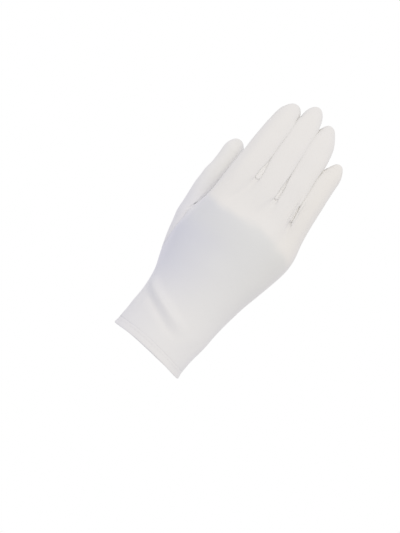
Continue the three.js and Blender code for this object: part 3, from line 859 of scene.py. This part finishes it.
smoothShape = {
    # how far below its tip the evening of a finger or the thumb begins and is full
    "fingerTip": (10, 5),
    "thumbTip": (10, 4),
    "thumbSide": (20, 22),
    "thumbDepth": 4,
    # place in the front view, reach, palm side or back
    "thumbRoot": [((-18, 97), 8, 1), ((-36, 105), 4.5, -1)],
    "rootDepth": 8,
    "belowFoot": (26, 18, 3.5, 0.5),  # below a foot: where it begins, is full, lessens and ends
    "besideFoot": (3, 7),
    "rounds": 90,
    "share": 0.6,  # of the way to the middle of a place's neighbours, each round
}


# Evens out the fingertips, two places at the thumb's root and the cloth below the feet of the finger seams
def evened(points, faces):
    x, y, z = points.T
    start, full = smoothShape["thumbTip"]
    amount = ease(z, thumbShape["top"] - start, thumbShape["top"] - full)
    amount *= ease(-x, *smoothShape["thumbSide"]) * (y > smoothShape["thumbDepth"])
    start, full = smoothShape["fingerTip"]
    for form in fingers:
        own = np.abs(x - form["midX"](form["tip"])) < form["halfWidth"](form["tip"])
        amount = np.maximum(amount, own * ease(z, form["tip"] - start, form["tip"] - full))
    for place, reach, side in smoothShape["thumbRoot"]:
        away = np.linalg.norm(points[:, [0, 2]] - np.array(place), axis=1)
        onSide = side * (y - smoothShape["rootDepth"]) > 0
        amount = np.maximum(amount, (1 - ease(away, reach / 2, reach)) * onSide)
    for gap in range(3):
        foot = fingerShape["feet"][gap + 1]
        beside = 1 - ease(np.abs(x - gapLine(gap, foot)), *smoothShape["besideFoot"])
        start, full, lessens, end = (foot - below for below in smoothShape["belowFoot"])
        amount = np.maximum(amount, beside * ease(z, start, full) * (1 - ease(z, lessens, end)))
    pairs = np.unique(np.sort(np.concatenate([faces[:, [k, (k + 1) % 4]] for k in range(4)]), axis=1), axis=0)
    count = np.maximum(np.bincount(pairs.ravel(), minlength=len(points)), 1)[:, None]
    pairs = pairs[(amount[pairs] > 0).any(1)]
    for _ in range(smoothShape["rounds"]):
        around = np.zeros_like(points)
        np.add.at(around, pairs[:, 0], points[pairs[:, 1]])
        np.add.at(around, pairs[:, 1], points[pairs[:, 0]])
        points = points + (around / count - points) * smoothShape["share"] * amount[:, None]
    return points


points = evened(points, faces)
setPlaces(clothMesh, points)
normals = meshArrays(clothMesh)[1]
edges = seamEdges(faces, ids)
distance = seamDistance(points, edges)
print("seams", len(edges), "edges")


# Smooth noise as a sum of turned waves; the same every run
def noise(places, size, seed, waves=14):
    random = np.random.default_rng(seed)
    directions = random.normal(size=(waves, 3))
    directions /= np.linalg.norm(directions, axis=1)[:, None]
    lengths = size * random.uniform(0.7, 1.5, waves)
    phases = random.uniform(0, 2 * math.pi, waves)
    return np.sin(places @ (directions / lengths[:, None]).T * 2 * math.pi + phases).sum(1) / math.sqrt(waves)


foldShape = {
    # folds as lines in the front view: places along it, depth, spread; a ridge has a depth below 0
    "wrist": [
        (((-32, 54), (-28.2, 44.7), (-21.2, 37.9), (-9.2, 32.2), (0.8, 28.7), (12, 26.5)), -2.9, 3.9),
        (((-31, 42), (-28, 37), (-21.7, 30.7), (-10, 25.7), (0.8, 21.2), (10, 19.5)), 1.5, 3.2),
        (((-30, 42), (-27, 31.4), (-25.8, 21)), 0.8, 1.9),
        (((-33, 64), (-27, 60)), 0.4, 2.4),
        (((22, 13), (29, 27)), 0.35, 3.2),
    ],
    "crotch": [(((-36, 104), (-31, 107)), 0.6, 1.4), (((-32, 104), (-35, 90)), 0.5, 2.0)],
    "palm": [
        (((-8, 58), (-3, 74), (-4, 94)), 1.3, 4.2), (((4, 113), (24, 110), (46, 103)), 0.9, 3.6),
        (((-24, 41), (0, 36), (24, 34)), 1.0, 3.0), (((-14, 116), (4, 121), (22, 124)), 0.5, 2.8),
    ],
    "ends": (0.06, 0.94),  # where the sine that fades a fold in and out starts and stops
    "endsFullness": 0.8,
    # how far in front of or behind the hand's middle the back's and the palm's folds fade in, and their tops
    "backFade": (4, 12),
    "backTop": 130,
    "palmFade": (3, 9),
    "palmTop": 140,
    "crotchDepth": 8,
    "feet": 0.15,
    "footSpread": 1.3,
    "knuckles": [(-18, 112), (4, 114), (26, 112), (42, 106)],
    "knuckleRise": 0.35,
    "knuckleSpread": 9,
    "thumbJoints": [(99, 0.7, 6), (137, 0.5, 5)],  # height, rise, spread
    "thumbSide": (34, 40),
    "slimCuff": 0.35,
    "slimCuffFade": (7, 16, 46, 62),
    "noise": 0.2,
    "noiseSize": 26,
    "noiseFade": (8, 20),
    # how far the strips come up nearly level with the backs of the fingers at their feet
    "stripRise": (0.35, 0.8, 1.9),
    "stripSide": (1.4, 2.8),
    "stripFoot": (-5, 3),
    "stripCrotch": (1, 12),
    "stripDepth": 2,
}


# Distance to a line of places in the front view, and how far along it the nearest place is, 0 to 1
def lineDistance(points, places):
    places = np.array(places, float)
    lengths = np.linalg.norm(np.diff(places, axis=0), axis=1)
    best, along = np.full(len(points), 1e9), np.zeros(len(points))
    for k, (start, run) in enumerate(zip(places, np.diff(places, axis=0))):
        offset = points[:, [0, 2]] - start
        share = np.clip(offset @ run / (run @ run), 0, 1)
        away = np.linalg.norm(offset - share[:, None] * run, axis=1)
        nearer = away < best
        best[nearer] = away[nearer]
        along[nearer] = ((lengths[:k].sum() + share * lengths[k]) / lengths.sum())[nearer]
    return best, along


# How far folds sink the cloth; each one fades in and out along its line
def sunk(points, lines):
    total = np.zeros(len(points))
    for places, depth, spread in lines:
        away, along = lineDistance(points, places)
        fade = np.sin(math.pi * mix(*foldShape["ends"], along)) ** foldShape["endsFullness"]
        total += depth * np.exp(-(away / spread) ** 2) * fade
    return total


# How far each place of the cloth moves out along its normal, for the seams, the folds and the hand's forms
def liftOf(points, distance):
    x, y, z = points.T
    onBack = ease(handMiddle(z) - y, *foldShape["backFade"]) * (z < foldShape["backTop"])
    onPalm = ease(y - handMiddle(z), *foldShape["palmFade"]) * (z < foldShape["palmTop"])
    spread = foldShape["knuckleSpread"]
    knuckles = sum(np.exp(-((x - kx) ** 2 + (z - kz) ** 2) / spread ** 2) for kx, kz in foldShape["knuckles"])
    lift = -seamShape["depth"] * np.exp(-(distance / seamShape["width"]) ** 2)
    lift += seamShape["puff"] * np.exp(-((distance - seamShape["puffAt"]) / seamShape["puffWidth"]) ** 2)
    lift += foldShape["knuckleRise"] * knuckles * onBack
    lift -= sunk(points, foldShape["wrist"]) * onBack
    lift -= sunk(points, foldShape["palm"]) * onPalm
    lift -= sunk(points, foldShape["crotch"]) * (y < foldShape["crotchDepth"])
    for gap in range(3):  # a dimple at the foot of each seam between two fingers
        foot = np.array([gapLine(gap, fingerShape["feet"][gap + 1]), fingerShape["feet"][gap + 1]])
        away = np.linalg.norm(points[:, [0, 2]] - foot, axis=1)
        lift -= foldShape["feet"] * np.exp(-(away / foldShape["footSpread"]) ** 2)
    for height, rise, spread in foldShape["thumbJoints"]:
        lift += rise * np.exp(-((z - height) / spread) ** 2) * ease(-x, *foldShape["thumbSide"])
    start, full, lessens, end = foldShape["slimCuffFade"]
    lift -= foldShape["slimCuff"] * ease(z, start, full) * (1 - ease(z, lessens, end))
    lift += foldShape["noise"] * noise(points, foldShape["noiseSize"], 3) * ease(z, *foldShape["noiseFade"])
    return lift


# Brings the strips between the fingers up at their feet
def raiseStrips(points):
    x, y, z = points.T
    for gap in range(3):
        foot, crotch = fingerShape["feet"][gap + 1], fingerShape["crotches"][gap + 1]
        beside = 1 - ease(np.abs(x - gapLine(gap, z)), *foldShape["stripSide"])
        start, full = (foot + above for above in foldShape["stripFoot"])
        lessens, end = (crotch + above for above in foldShape["stripCrotch"])
        along = ease(z, start, full) * (1 - ease(z, lessens, end))
        onBack = y < handMiddle(foot) - foldShape["stripDepth"]
        points[:, 1] -= foldShape["stripRise"][gap] * beside * along * onBack


hemDrop = {
    # how far the edge lies below the slanted line at the palm and at the back, this far either way in y
    "palm": 0.6,
    "back": 2.4,
    "depth": 14,
    # how much further at the two sides, this far out in x
    "thumbSide": 2.2,
    "littleSide": 0.6,
    "halfWidth": 31,
    # how far the little finger's side is drawn in, the x where that is full, and the heights where it fades
    "narrow": 1.6,
    "narrowFull": 30,
    "narrowFade": (4, 30),
}


# Slants the wrist opening, with its edge lowest at the sides
def slantHem(points):
    x, y, z = points.T
    fade = 1 - ease(z, *handShape["hemSlantFade"])
    side = np.clip(x / hemDrop["halfWidth"], -1, 1)
    drop = mix(hemDrop["palm"], hemDrop["back"], ease(-y, -hemDrop["depth"], hemDrop["depth"]))
    drop += np.where(side < 0, hemDrop["thumbSide"], hemDrop["littleSide"]) * side ** 2
    narrow = ease(x, 0, hemDrop["narrowFull"]) * (1 - ease(z, *hemDrop["narrowFade"]))
    points[:, 0] -= hemDrop["narrow"] * narrow
    points[:, 2] -= (handShape["hemSlant"] * x + drop) * fade


points += normals * liftOf(points, distance)[:, None]
raiseStrips(points)
slantHem(points)
print("cloth shaped")


# Painted light and shade: the back of the hand below the knuckle line is painted darker, and bluer towards
# the thumb, as the shade it takes; the fingers and the little finger's side get a painted warm light
paintedLightShape = {
    # each colour multiplies the cloth's own
    # painted shade on the back of the hand, below the knuckle line
    "backShade": (0.9, 0.915, 0.925),
    # painted warm tone of the light on the fingers, above the knuckle line
    "fingers": (0.985, 0.979, 0.976),
    # painted cool shade towards the thumb and on the thumb's lower part
    "coolShade": (0.88, 0.89, 0.985),
    # painted warm light on the little finger's side
    "warmLight": (1.0, 0.99, 0.965),
    # painted light: each strip is lightened against the shade of the crease it lies in
    "strips": (1.04, 1.05, 1.11),  # how much lighter each strip is
    "knuckleLine": ((-30, -17, 12, 35, 49), (120, 116.5, 118.5, 115.5, 109)),  # x, height
    "knuckleSoftness": 4.5,
    "knuckleWander": 0.9,
    "wanderSize": 11,
    "backFade": (0, 10),  # in front of the hand's middle
    "wristFade": (24, 112),  # heights over which the painted back shade comes in
    "wristFullness": 0.6,
    "coolSide": (26, -36),  # x where the painted cool shade begins and is full
    "coolFoot": (28, 64),
    "coolLeast": 0.4,
    "coolTop": (86, 106, 0.5),  # heights, and the share left above them
    "coolHeights": (104, 150),  # on the thumb
    "coolThumb": 0.5,
    "warmSide": (20, 50),
}


def paintedLightOf(points, onThumb):
    x, y, z = points.T
    line = curveThrough(*paintedLightShape["knuckleLine"])(x)
    line += paintedLightShape["knuckleWander"] * noise(points, paintedLightShape["wanderSize"], 8)
    below = 1 - ease(z - line, -paintedLightShape["knuckleSoftness"], paintedLightShape["knuckleSoftness"])
    onBack = ease(handMiddle(z) - y, *paintedLightShape["backFade"])
    # painted shade: the back of the hand below the knuckle line, fading in from the wrist
    backShade = below * ease(z, *paintedLightShape["wristFade"]) ** paintedLightShape["wristFullness"] * onBack * (1 - onThumb)
    coolStart, coolEnd = paintedLightShape["coolSide"]
    topStart, topEnd, topShare = paintedLightShape["coolTop"]
    # painted cool shade, strongest towards the thumb and weaker up the hand
    coolShade = ease(-x, -coolStart, -coolEnd) * below
    coolShade *= mix(paintedLightShape["coolLeast"], 1, ease(z, *paintedLightShape["coolFoot"]))
    coolShade *= mix(1, topShare, ease(z, topStart, topEnd))
    # on the thumb the painted cool shade lessens with height
    onThumbCool = (1 - ease(z, *paintedLightShape["coolHeights"])) * paintedLightShape["coolThumb"]
    coolShade = mix(coolShade, onThumbCool, onThumb)
    # painted warm light tone on the fingers, above the knuckle line
    fingers = (1 - below) * (1 - onThumb)
    # painted warm light on the little finger's side
    warmLight = ease(x, *paintedLightShape["warmSide"])
    paintedLight = np.ones((len(points), 3))
    for share, name in ((backShade, "backShade"), (coolShade, "coolShade"), (fingers, "fingers"), (warmLight, "warmLight")):
        paintedLight *= mix(np.ones(3), np.array(paintedLightShape[name]), share[:, None])
    return paintedLight


# Painted light and shade for every place of the cloth
onThumb = np.zeros(len(points))
onThumb[faces[np.isin(ids, thumbIds)].ravel()] = 1
paintedLights = paintedLightOf(points, onThumb)
# painted light: the strips between the fingers are lightened, and made a little bluer, against the shade of
# their creases
for stripId, brightness in zip(stripIds, paintedLightShape["strips"]):
    paintedLights[np.unique(faces[ids == stripId])] *= brightness


# The sewn pieces

pieceSettings = {
    "thickness": 0.6,
    # name: the node it stands for, ids, flat width and length in metres, and the cut's area
    "pieces": {
        "satin_back": ("back_panel", (backId,), (0.105, 0.225), 0.0165),
        "satin_palm": ("palm_panel", (palmId,), (0.105, 0.225), 0.0165),
        "satin_strip_index_middle": ("fourchette_index_middle", stripIds[:1], (0.022, 0.066), 0.0014),
        "satin_strip_middle_ring": ("fourchette_middle_ring", stripIds[1:2], (0.024, 0.072), 0.0015),
        "satin_strip_ring_little": ("fourchette_ring_little", stripIds[2:], (0.020, 0.055), 0.0011),
        "satin_thumb": ("thumb", thumbIds, (0.075, 0.115), 0.006),
    },
}


# Stores the painted light and shade as a colour attribute of the mesh
def addPaintedLight(mesh, paintedLight):
    layer = mesh.attributes.new("paintedLight", "FLOAT_COLOR", "POINT")
    layer.data.foreach_set("color", np.column_stack([paintedLight, np.ones(len(paintedLight))]).astype(np.float32).ravel())


# One sewn piece, cut from the cloth with its painted light and shade and given its thickness
def cutPiece(name, pieceIds):
    chosen = np.isin(ids, pieceIds)
    used, renamed = np.unique(faces[chosen].ravel(), return_inverse=True)
    mesh = meshFrom(name, points[used], renamed.reshape(-1, 4))
    uvLayer = mesh.uv_layers.new(name="cloth")
    places = points[used][renamed.ravel()]
    uv = np.column_stack([places[:, 0], places[:, 2]]) * millimetre
    uvLayer.data.foreach_set("uv", uv.astype(np.float32).ravel())
    addPaintedLight(mesh, paintedLights[used])
    piece = addObject(name, mesh)
    wall = piece.modifiers.new("wall", "SOLIDIFY")
    wall.thickness = pieceSettings["thickness"] * millimetre
    wall.offset = -1
    return piece


pieces = {}
for name, (node, pieceIds, flat, area) in pieceSettings["pieces"].items():
    pieces[name] = cutPiece(name, pieceIds)
    print(name, "area", round(sum(p.area for p in pieces[name].data.polygons), 6))


# The hem

hemShape = {
    "rows": [  # inset, height
        (0.4, 8.2), (0.1, 7.2), (-0.02, 6.4), (-0.12, 3.4), (-0.25, 1.2), (0.0, 0.25), (0.5, 0.0), (1.0, 0.3),
        (1.35, 1.4), (1.4, 4), (1.4, 8.5), (0.95, 8.9), (0.65, 7.9),
    ],
    # how far the edge stands out at the two sides, how narrow that is and how high it reaches
    "flare": 0.7,
    "flareFullness": 6,
    "flareTop": 6,
    "wave": 0.15,
    "waves": 5,
    "waveFade": (2, 6),
}


# The folded hem: rings of stations in the order of its section, joined round
def buildHem():
    places = []
    for inset, height in hemShape["rows"]:
        for turn in (station["turn"] for station in stations):
            place = sectionPoint(hand, turn, height)
            middle = np.array([hand["midX"](0), hand["midY"](0), place[2]])
            out = (place - middle) / np.linalg.norm(place - middle)
            sides = abs(math.cos(turn)) ** hemShape["flareFullness"]
            flare = hemShape["flare"] * sides * (1 - ease(height, 0, hemShape["flareTop"]))
            wave = hemShape["wave"] * math.sin(hemShape["waves"] * turn + 1)
            wave *= 1 - ease(height, *hemShape["waveFade"])
            places.append(place + out * (flare + wave - inset))
    low = np.arange(len(places)).reshape(-1, len(stations))
    high = np.roll(low, -1, axis=0)
    corners = (high, np.roll(high, -1, axis=1), np.roll(low, -1, axis=1), low)
    quads = np.stack(corners, axis=-1).reshape(-1, 4)
    mesh = smoothed("satin_hem", fitCage(np.array(places), quads, rounds=3), quads, None, levels=2)
    hemPoints = meshArrays(mesh)[0]
    slantHem(hemPoints)
    setPlaces(mesh, hemPoints)
    # the hem takes the same painted light and shade
    addPaintedLight(mesh, paintedLightOf(hemPoints, np.zeros(len(hemPoints))))
    return addObject("satin_hem", mesh)


pieces["satin_hem"] = buildHem()
print("pieces cut")


# Materials

# A new node with its settings and the values of its inputs, by name or place
def newNode(tree, kind, inputs=(), **settings):
    node = tree.nodes.new(kind)
    for name, value in settings.items():
        setattr(node, name, value)
    for socket, value in dict(inputs).items():
        node.inputs[socket].default_value = value
    return node


def connect(tree, joints):
    for source, output, target, entry in joints:
        tree.links.new(source.outputs[output], target.inputs[entry])


clothLook = {
    "colour": (0.85, 0.85, 0.85, 1),
    "shade": (0.825, 0.825, 0.83, 1),
    "shadeScale": 18,
    "roughness": 0.52,
    "roughnessRange": 0.05,
    "sheen": 0.35,
    "sheenRoughness": 0.4,
    "specular": 0.35,
    "grainScale": 900,
    "grainStrength": 0.12,
    "knitScale": 450,
    "knitDistortion": 1.5,
    "knitStrength": 0.08,
    "reliefHeight": 0.0002,
}


# White cloth with soft random tones, a fine knit and, where asked, the painted light and shade that the mesh
# carries as a colour attribute
def clothMaterial(name, look, withPaintedLight):
    material = bpy.data.materials.new(name)
    material.use_nodes = True
    tree = material.node_tree
    shader = tree.nodes["Principled BSDF"]
    shader.inputs["Specular IOR Level"].default_value = look["specular"]
    shader.inputs["Sheen Weight"].default_value = look["sheen"]
    shader.inputs["Sheen Roughness"].default_value = look["sheenRoughness"]
    coordinates = newNode(tree, "ShaderNodeTexCoord")
    broad = newNode(tree, "ShaderNodeTexNoise", {"Scale": look["shadeScale"], "Detail": 2})
    colour = newNode(tree, "ShaderNodeMix", {6: look["colour"], 7: look["shade"]}, data_type="RGBA")
    fine = newNode(tree, "ShaderNodeTexNoise", {"Scale": look["grainScale"], "Detail": 3})
    knit = newNode(tree, "ShaderNodeTexWave", {"Scale": look["knitScale"], "Detail": 1}, bands_direction="X")
    knit.inputs["Distortion"].default_value = look["knitDistortion"]
    rough = newNode(tree, "ShaderNodeMapRange")
    rough.inputs["To Min"].default_value = look["roughness"] - look["roughnessRange"]
    rough.inputs["To Max"].default_value = look["roughness"] + look["roughnessRange"]
    height = {"Distance": look["reliefHeight"]}
    relief = newNode(tree, "ShaderNodeBump", {**height, "Strength": look["knitStrength"]})
    grain = newNode(tree, "ShaderNodeBump", {**height, "Strength": look["grainStrength"]})
    connect(tree, [(coordinates, "Object", texture, "Vector") for texture in (broad, fine, knit)])
    connect(tree, [
        (broad, "Fac", colour, 0),
        (fine, "Fac", rough, "Value"),
        (rough, "Result", shader, "Roughness"),
        (knit, "Fac", relief, "Height"),
        (fine, "Fac", grain, "Height"),
        (relief, "Normal", grain, "Normal"),
        (grain, "Normal", shader, "Normal"),
    ])
    if withPaintedLight:
        # multiplies the painted light and shade from the mesh into the cloth's colour
        paintedLight = newNode(tree, "ShaderNodeAttribute", attribute_name="paintedLight")
        paintedLightMix = newNode(tree, "ShaderNodeMix", {0: 1}, data_type="RGBA", blend_type="MULTIPLY")
        connect(tree, [(colour, 2, paintedLightMix, 6), (paintedLight, "Color", paintedLightMix, 7)])
        colour = paintedLightMix
    connect(tree, [(colour, 2, shader, "Base Color")])
    return material


cloth = clothMaterial("white satin knit", clothLook, True)
# The hem's cloth is lighter: partly for its double layer, partly as a painted highlight along the wrist's
# edge
hemCloth = clothMaterial("white hem knit", {**clothLook, "colour": (0.875, 0.868, 0.865, 1)}, True)
thread = clothMaterial("white thread", {**clothLook, "roughness": 0.6}, False)
for name, piece in pieces.items():
    piece.data.materials.clear()
    piece.data.materials.append(hemCloth if name == "satin_hem" else cloth)


# Stitches on the hem

stitchShape = {"height": 4.9, "length": 1.7, "gap": 1.1, "radius": 0.14, "out": 0.16, "linePoints": 240}


# Sets a stitch, a ball stretched along the line, at even steps; also gives the identifiers of the inputs
def stitchTree():
    tree = bpy.data.node_groups.new("hem stitches", "GeometryNodeTree")
    tree.interface.new_socket("Line", in_out="INPUT", socket_type="NodeSocketGeometry")
    sockets = {}
    kinds = {"Spacing": "Float", "Stitch length": "Float", "Thread radius": "Float", "Thread": "Material"}
    for name, kind in kinds.items():
        socket = tree.interface.new_socket(name, in_out="INPUT", socket_type="NodeSocket" + kind)
        sockets[name] = socket.identifier
    tree.interface.new_socket("Stitches", in_out="OUTPUT", socket_type="NodeSocketGeometry")
    start = newNode(tree, "NodeGroupInput")
    toCurve = newNode(tree, "GeometryNodeMeshToCurve")
    spaced = newNode(tree, "GeometryNodeResampleCurve", mode="LENGTH")
    ball = newNode(tree, "GeometryNodeMeshUVSphere", {"Segments": 8, "Rings": 6, "Radius": 1})
    halfLength = newNode(tree, "ShaderNodeMath", {1: 0.5}, operation="MULTIPLY")
    size = newNode(tree, "ShaderNodeCombineXYZ")
    stretched = newNode(tree, "GeometryNodeTransform")
    along = newNode(tree, "GeometryNodeInputTangent")
    turned = newNode(tree, "FunctionNodeAlignRotationToVector", axis="Z")
    copies = newNode(tree, "GeometryNodeInstanceOnPoints")
    real = newNode(tree, "GeometryNodeRealizeInstances")
    painted = newNode(tree, "GeometryNodeSetMaterial")
    end = newNode(tree, "NodeGroupOutput")
    connect(tree, [
        (start, "Line", toCurve, "Mesh"),
        (toCurve, "Curve", spaced, "Curve"),
        (start, "Spacing", spaced, "Length"),
        (start, "Stitch length", halfLength, 0),
        (start, "Thread radius", size, "X"),
        (start, "Thread radius", size, "Y"),
        (halfLength, "Value", size, "Z"),
        (ball, "Mesh", stretched, "Geometry"),
        (size, "Vector", stretched, "Scale"),
        (spaced, "Curve", copies, "Points"),
        (stretched, "Geometry", copies, "Instance"),
        (along, "Tangent", turned, "Vector"),
        (turned, "Rotation", copies, "Rotation"),
        (copies, "Instances", real, "Geometry"),
        (real, "Geometry", painted, "Geometry"),
        (start, "Thread", painted, "Material"),
        (painted, "Geometry", end, "Stitches"),
    ])
    return tree, sockets


# The line of stitches round the hem, made a plain mesh
def hemStitches():
    turns = np.linspace(0, 2 * math.pi, stitchShape["linePoints"], endpoint=False)
    line = np.array([sectionPoint(hand, turn, stitchShape["height"]) for turn in turns])
    out = line - np.array([hand["midX"](0), hand["midY"](0), stitchShape["height"]])
    line += out / np.linalg.norm(out, axis=1)[:, None] * stitchShape["out"]
    slantHem(line)
    mesh = bpy.data.meshes.new("stitch line")
    steps = [(k, (k + 1) % len(line)) for k in range(len(line))]
    mesh.from_pydata([tuple(p) for p in line * millimetre], steps, [])
    carrier = addObject("stitch line", mesh)
    tree, sockets = stitchTree()
    modifier = carrier.modifiers.new("stitches", "NODES")
    modifier.node_group = tree
    modifier[sockets["Spacing"]] = (stitchShape["length"] + stitchShape["gap"]) * millimetre
    modifier[sockets["Stitch length"]] = stitchShape["length"] * millimetre
    modifier[sockets["Thread radius"]] = stitchShape["radius"] * millimetre
    modifier[sockets["Thread"]] = thread
    stitches = bake(carrier)
    for polygon in stitches.polygons:
        polygon.use_smooth = True
    return addObject("hem_stitches", stitches)


pieces["hem_stitches"] = hemStitches()
print("stitches", len(pieces["hem_stitches"].data.polygons), "faces")


# Floor, light and camera

studio = {
    "floorHeight": -0.28,
    "floorRadius": 1.0,
    "floorSides": 64,
    "floorColour": (0.85, 0.85, 0.85, 1),
    "floorRoughness": 0.9,
    "key": {
        "place": (0, -1.2, 1.0),
        "aim": (0, 0, 0.08),
        "size": 0.9,
        "power": 4.1,
        "colour": (1, 0.91, 0.6),
    },
    "cameraDistance": 1.4,
    "aim": (-0.0031, 0.0, 0.0720),
    "below": 6.0,
    "roll": 34.5,
    "frameHeight": 0.4,
    "sensorWidth": 36,
    "clip": (0.05, 20),
    "roomColour": (0.975, 0.962, 1, 1),
    "roomLight": 0.835,
}


def addFloor():
    count, radius = studio["floorSides"], studio["floorRadius"]
    turns = [2 * math.pi * k / count for k in range(count)]
    ring = [(radius * math.cos(turn), radius * math.sin(turn), studio["floorHeight"]) for turn in turns]
    mesh = bpy.data.meshes.new("floor")
    mesh.from_pydata(ring, [], [tuple(range(count))])
    floor = addObject("floor", mesh)
    paint = bpy.data.materials.new("pale floor")
    paint.use_nodes = True
    shader = paint.node_tree.nodes["Principled BSDF"]
    shader.inputs["Base Color"].default_value = studio["floorColour"]
    shader.inputs["Roughness"].default_value = studio["floorRoughness"]
    mesh.materials.append(paint)


def addLight(name, place, aim, size, power, colour):
    lamp = bpy.data.lights.new(name, "AREA")
    lamp.shape = "SQUARE"
    lamp.size = size
    lamp.energy = power
    lamp.color = colour
    light = bpy.data.objects.new(name, lamp)
    light.location = place
    light.rotation_euler = (Vector(aim) - Vector(place)).to_track_quat("-Z", "Y").to_euler()
    bpy.context.scene.collection.objects.link(light)


def addCamera():
    below, roll = math.radians(studio["below"]), math.radians(studio["roll"])
    aim = Vector(studio["aim"])
    back = Vector((0, -math.cos(below), -math.sin(below)))
    up = Vector((-math.sin(roll), 0, math.cos(roll)))
    right = up.cross(back).normalized()
    up = back.cross(right)
    camera = bpy.data.cameras.new("camera")
    camera.sensor_width = studio["sensorWidth"]
    camera.lens = camera.sensor_width * studio["cameraDistance"] / studio["frameHeight"]
    camera.clip_start, camera.clip_end = studio["clip"]
    holder = bpy.data.objects.new("camera", camera)
    turn = Matrix((right, up, back)).transposed().to_4x4()
    holder.matrix_world = Matrix.Translation(aim + back * studio["cameraDistance"]) @ turn
    bpy.context.scene.collection.objects.link(holder)
    bpy.context.scene.camera = holder


# An even white room, whose backdrop shows as plain white and lights the glove a little less
def addWorld():
    world = bpy.data.worlds.new("white room")
    world.use_nodes = True
    tree = world.node_tree
    room = tree.nodes["Background"]
    room.inputs["Color"].default_value = studio["roomColour"]
    room.inputs["Strength"].default_value = studio["roomLight"]
    backdrop = newNode(tree, "ShaderNodeBackground", {"Strength": 1, "Color": (1, 1, 1, 1)})
    path = newNode(tree, "ShaderNodeLightPath")
    choice = newNode(tree, "ShaderNodeMixShader")
    connect(tree, [
        (path, "Is Camera Ray", choice, "Fac"),
        (room, "Background", choice, 1),
        (backdrop, "Background", choice, 2),
        (choice, "Shader", tree.nodes["World Output"], "Surface"),
    ])
    bpy.context.scene.world = world
    bpy.context.scene.view_settings.view_transform = "Standard"
    bpy.context.scene.view_settings.look = "None"


addFloor()
addLight("key", **studio["key"])
addWorld()
addCamera()
print("studio set")


# Every piece goes on the root body, and the model's parts that the pieces stand for are hidden

for name, piece in pieces.items():
    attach(piece, "root")
for name, (node, pieceIds, flat, area) in pieceSettings["pieces"].items():
    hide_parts(node)
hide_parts("cuff_hem")
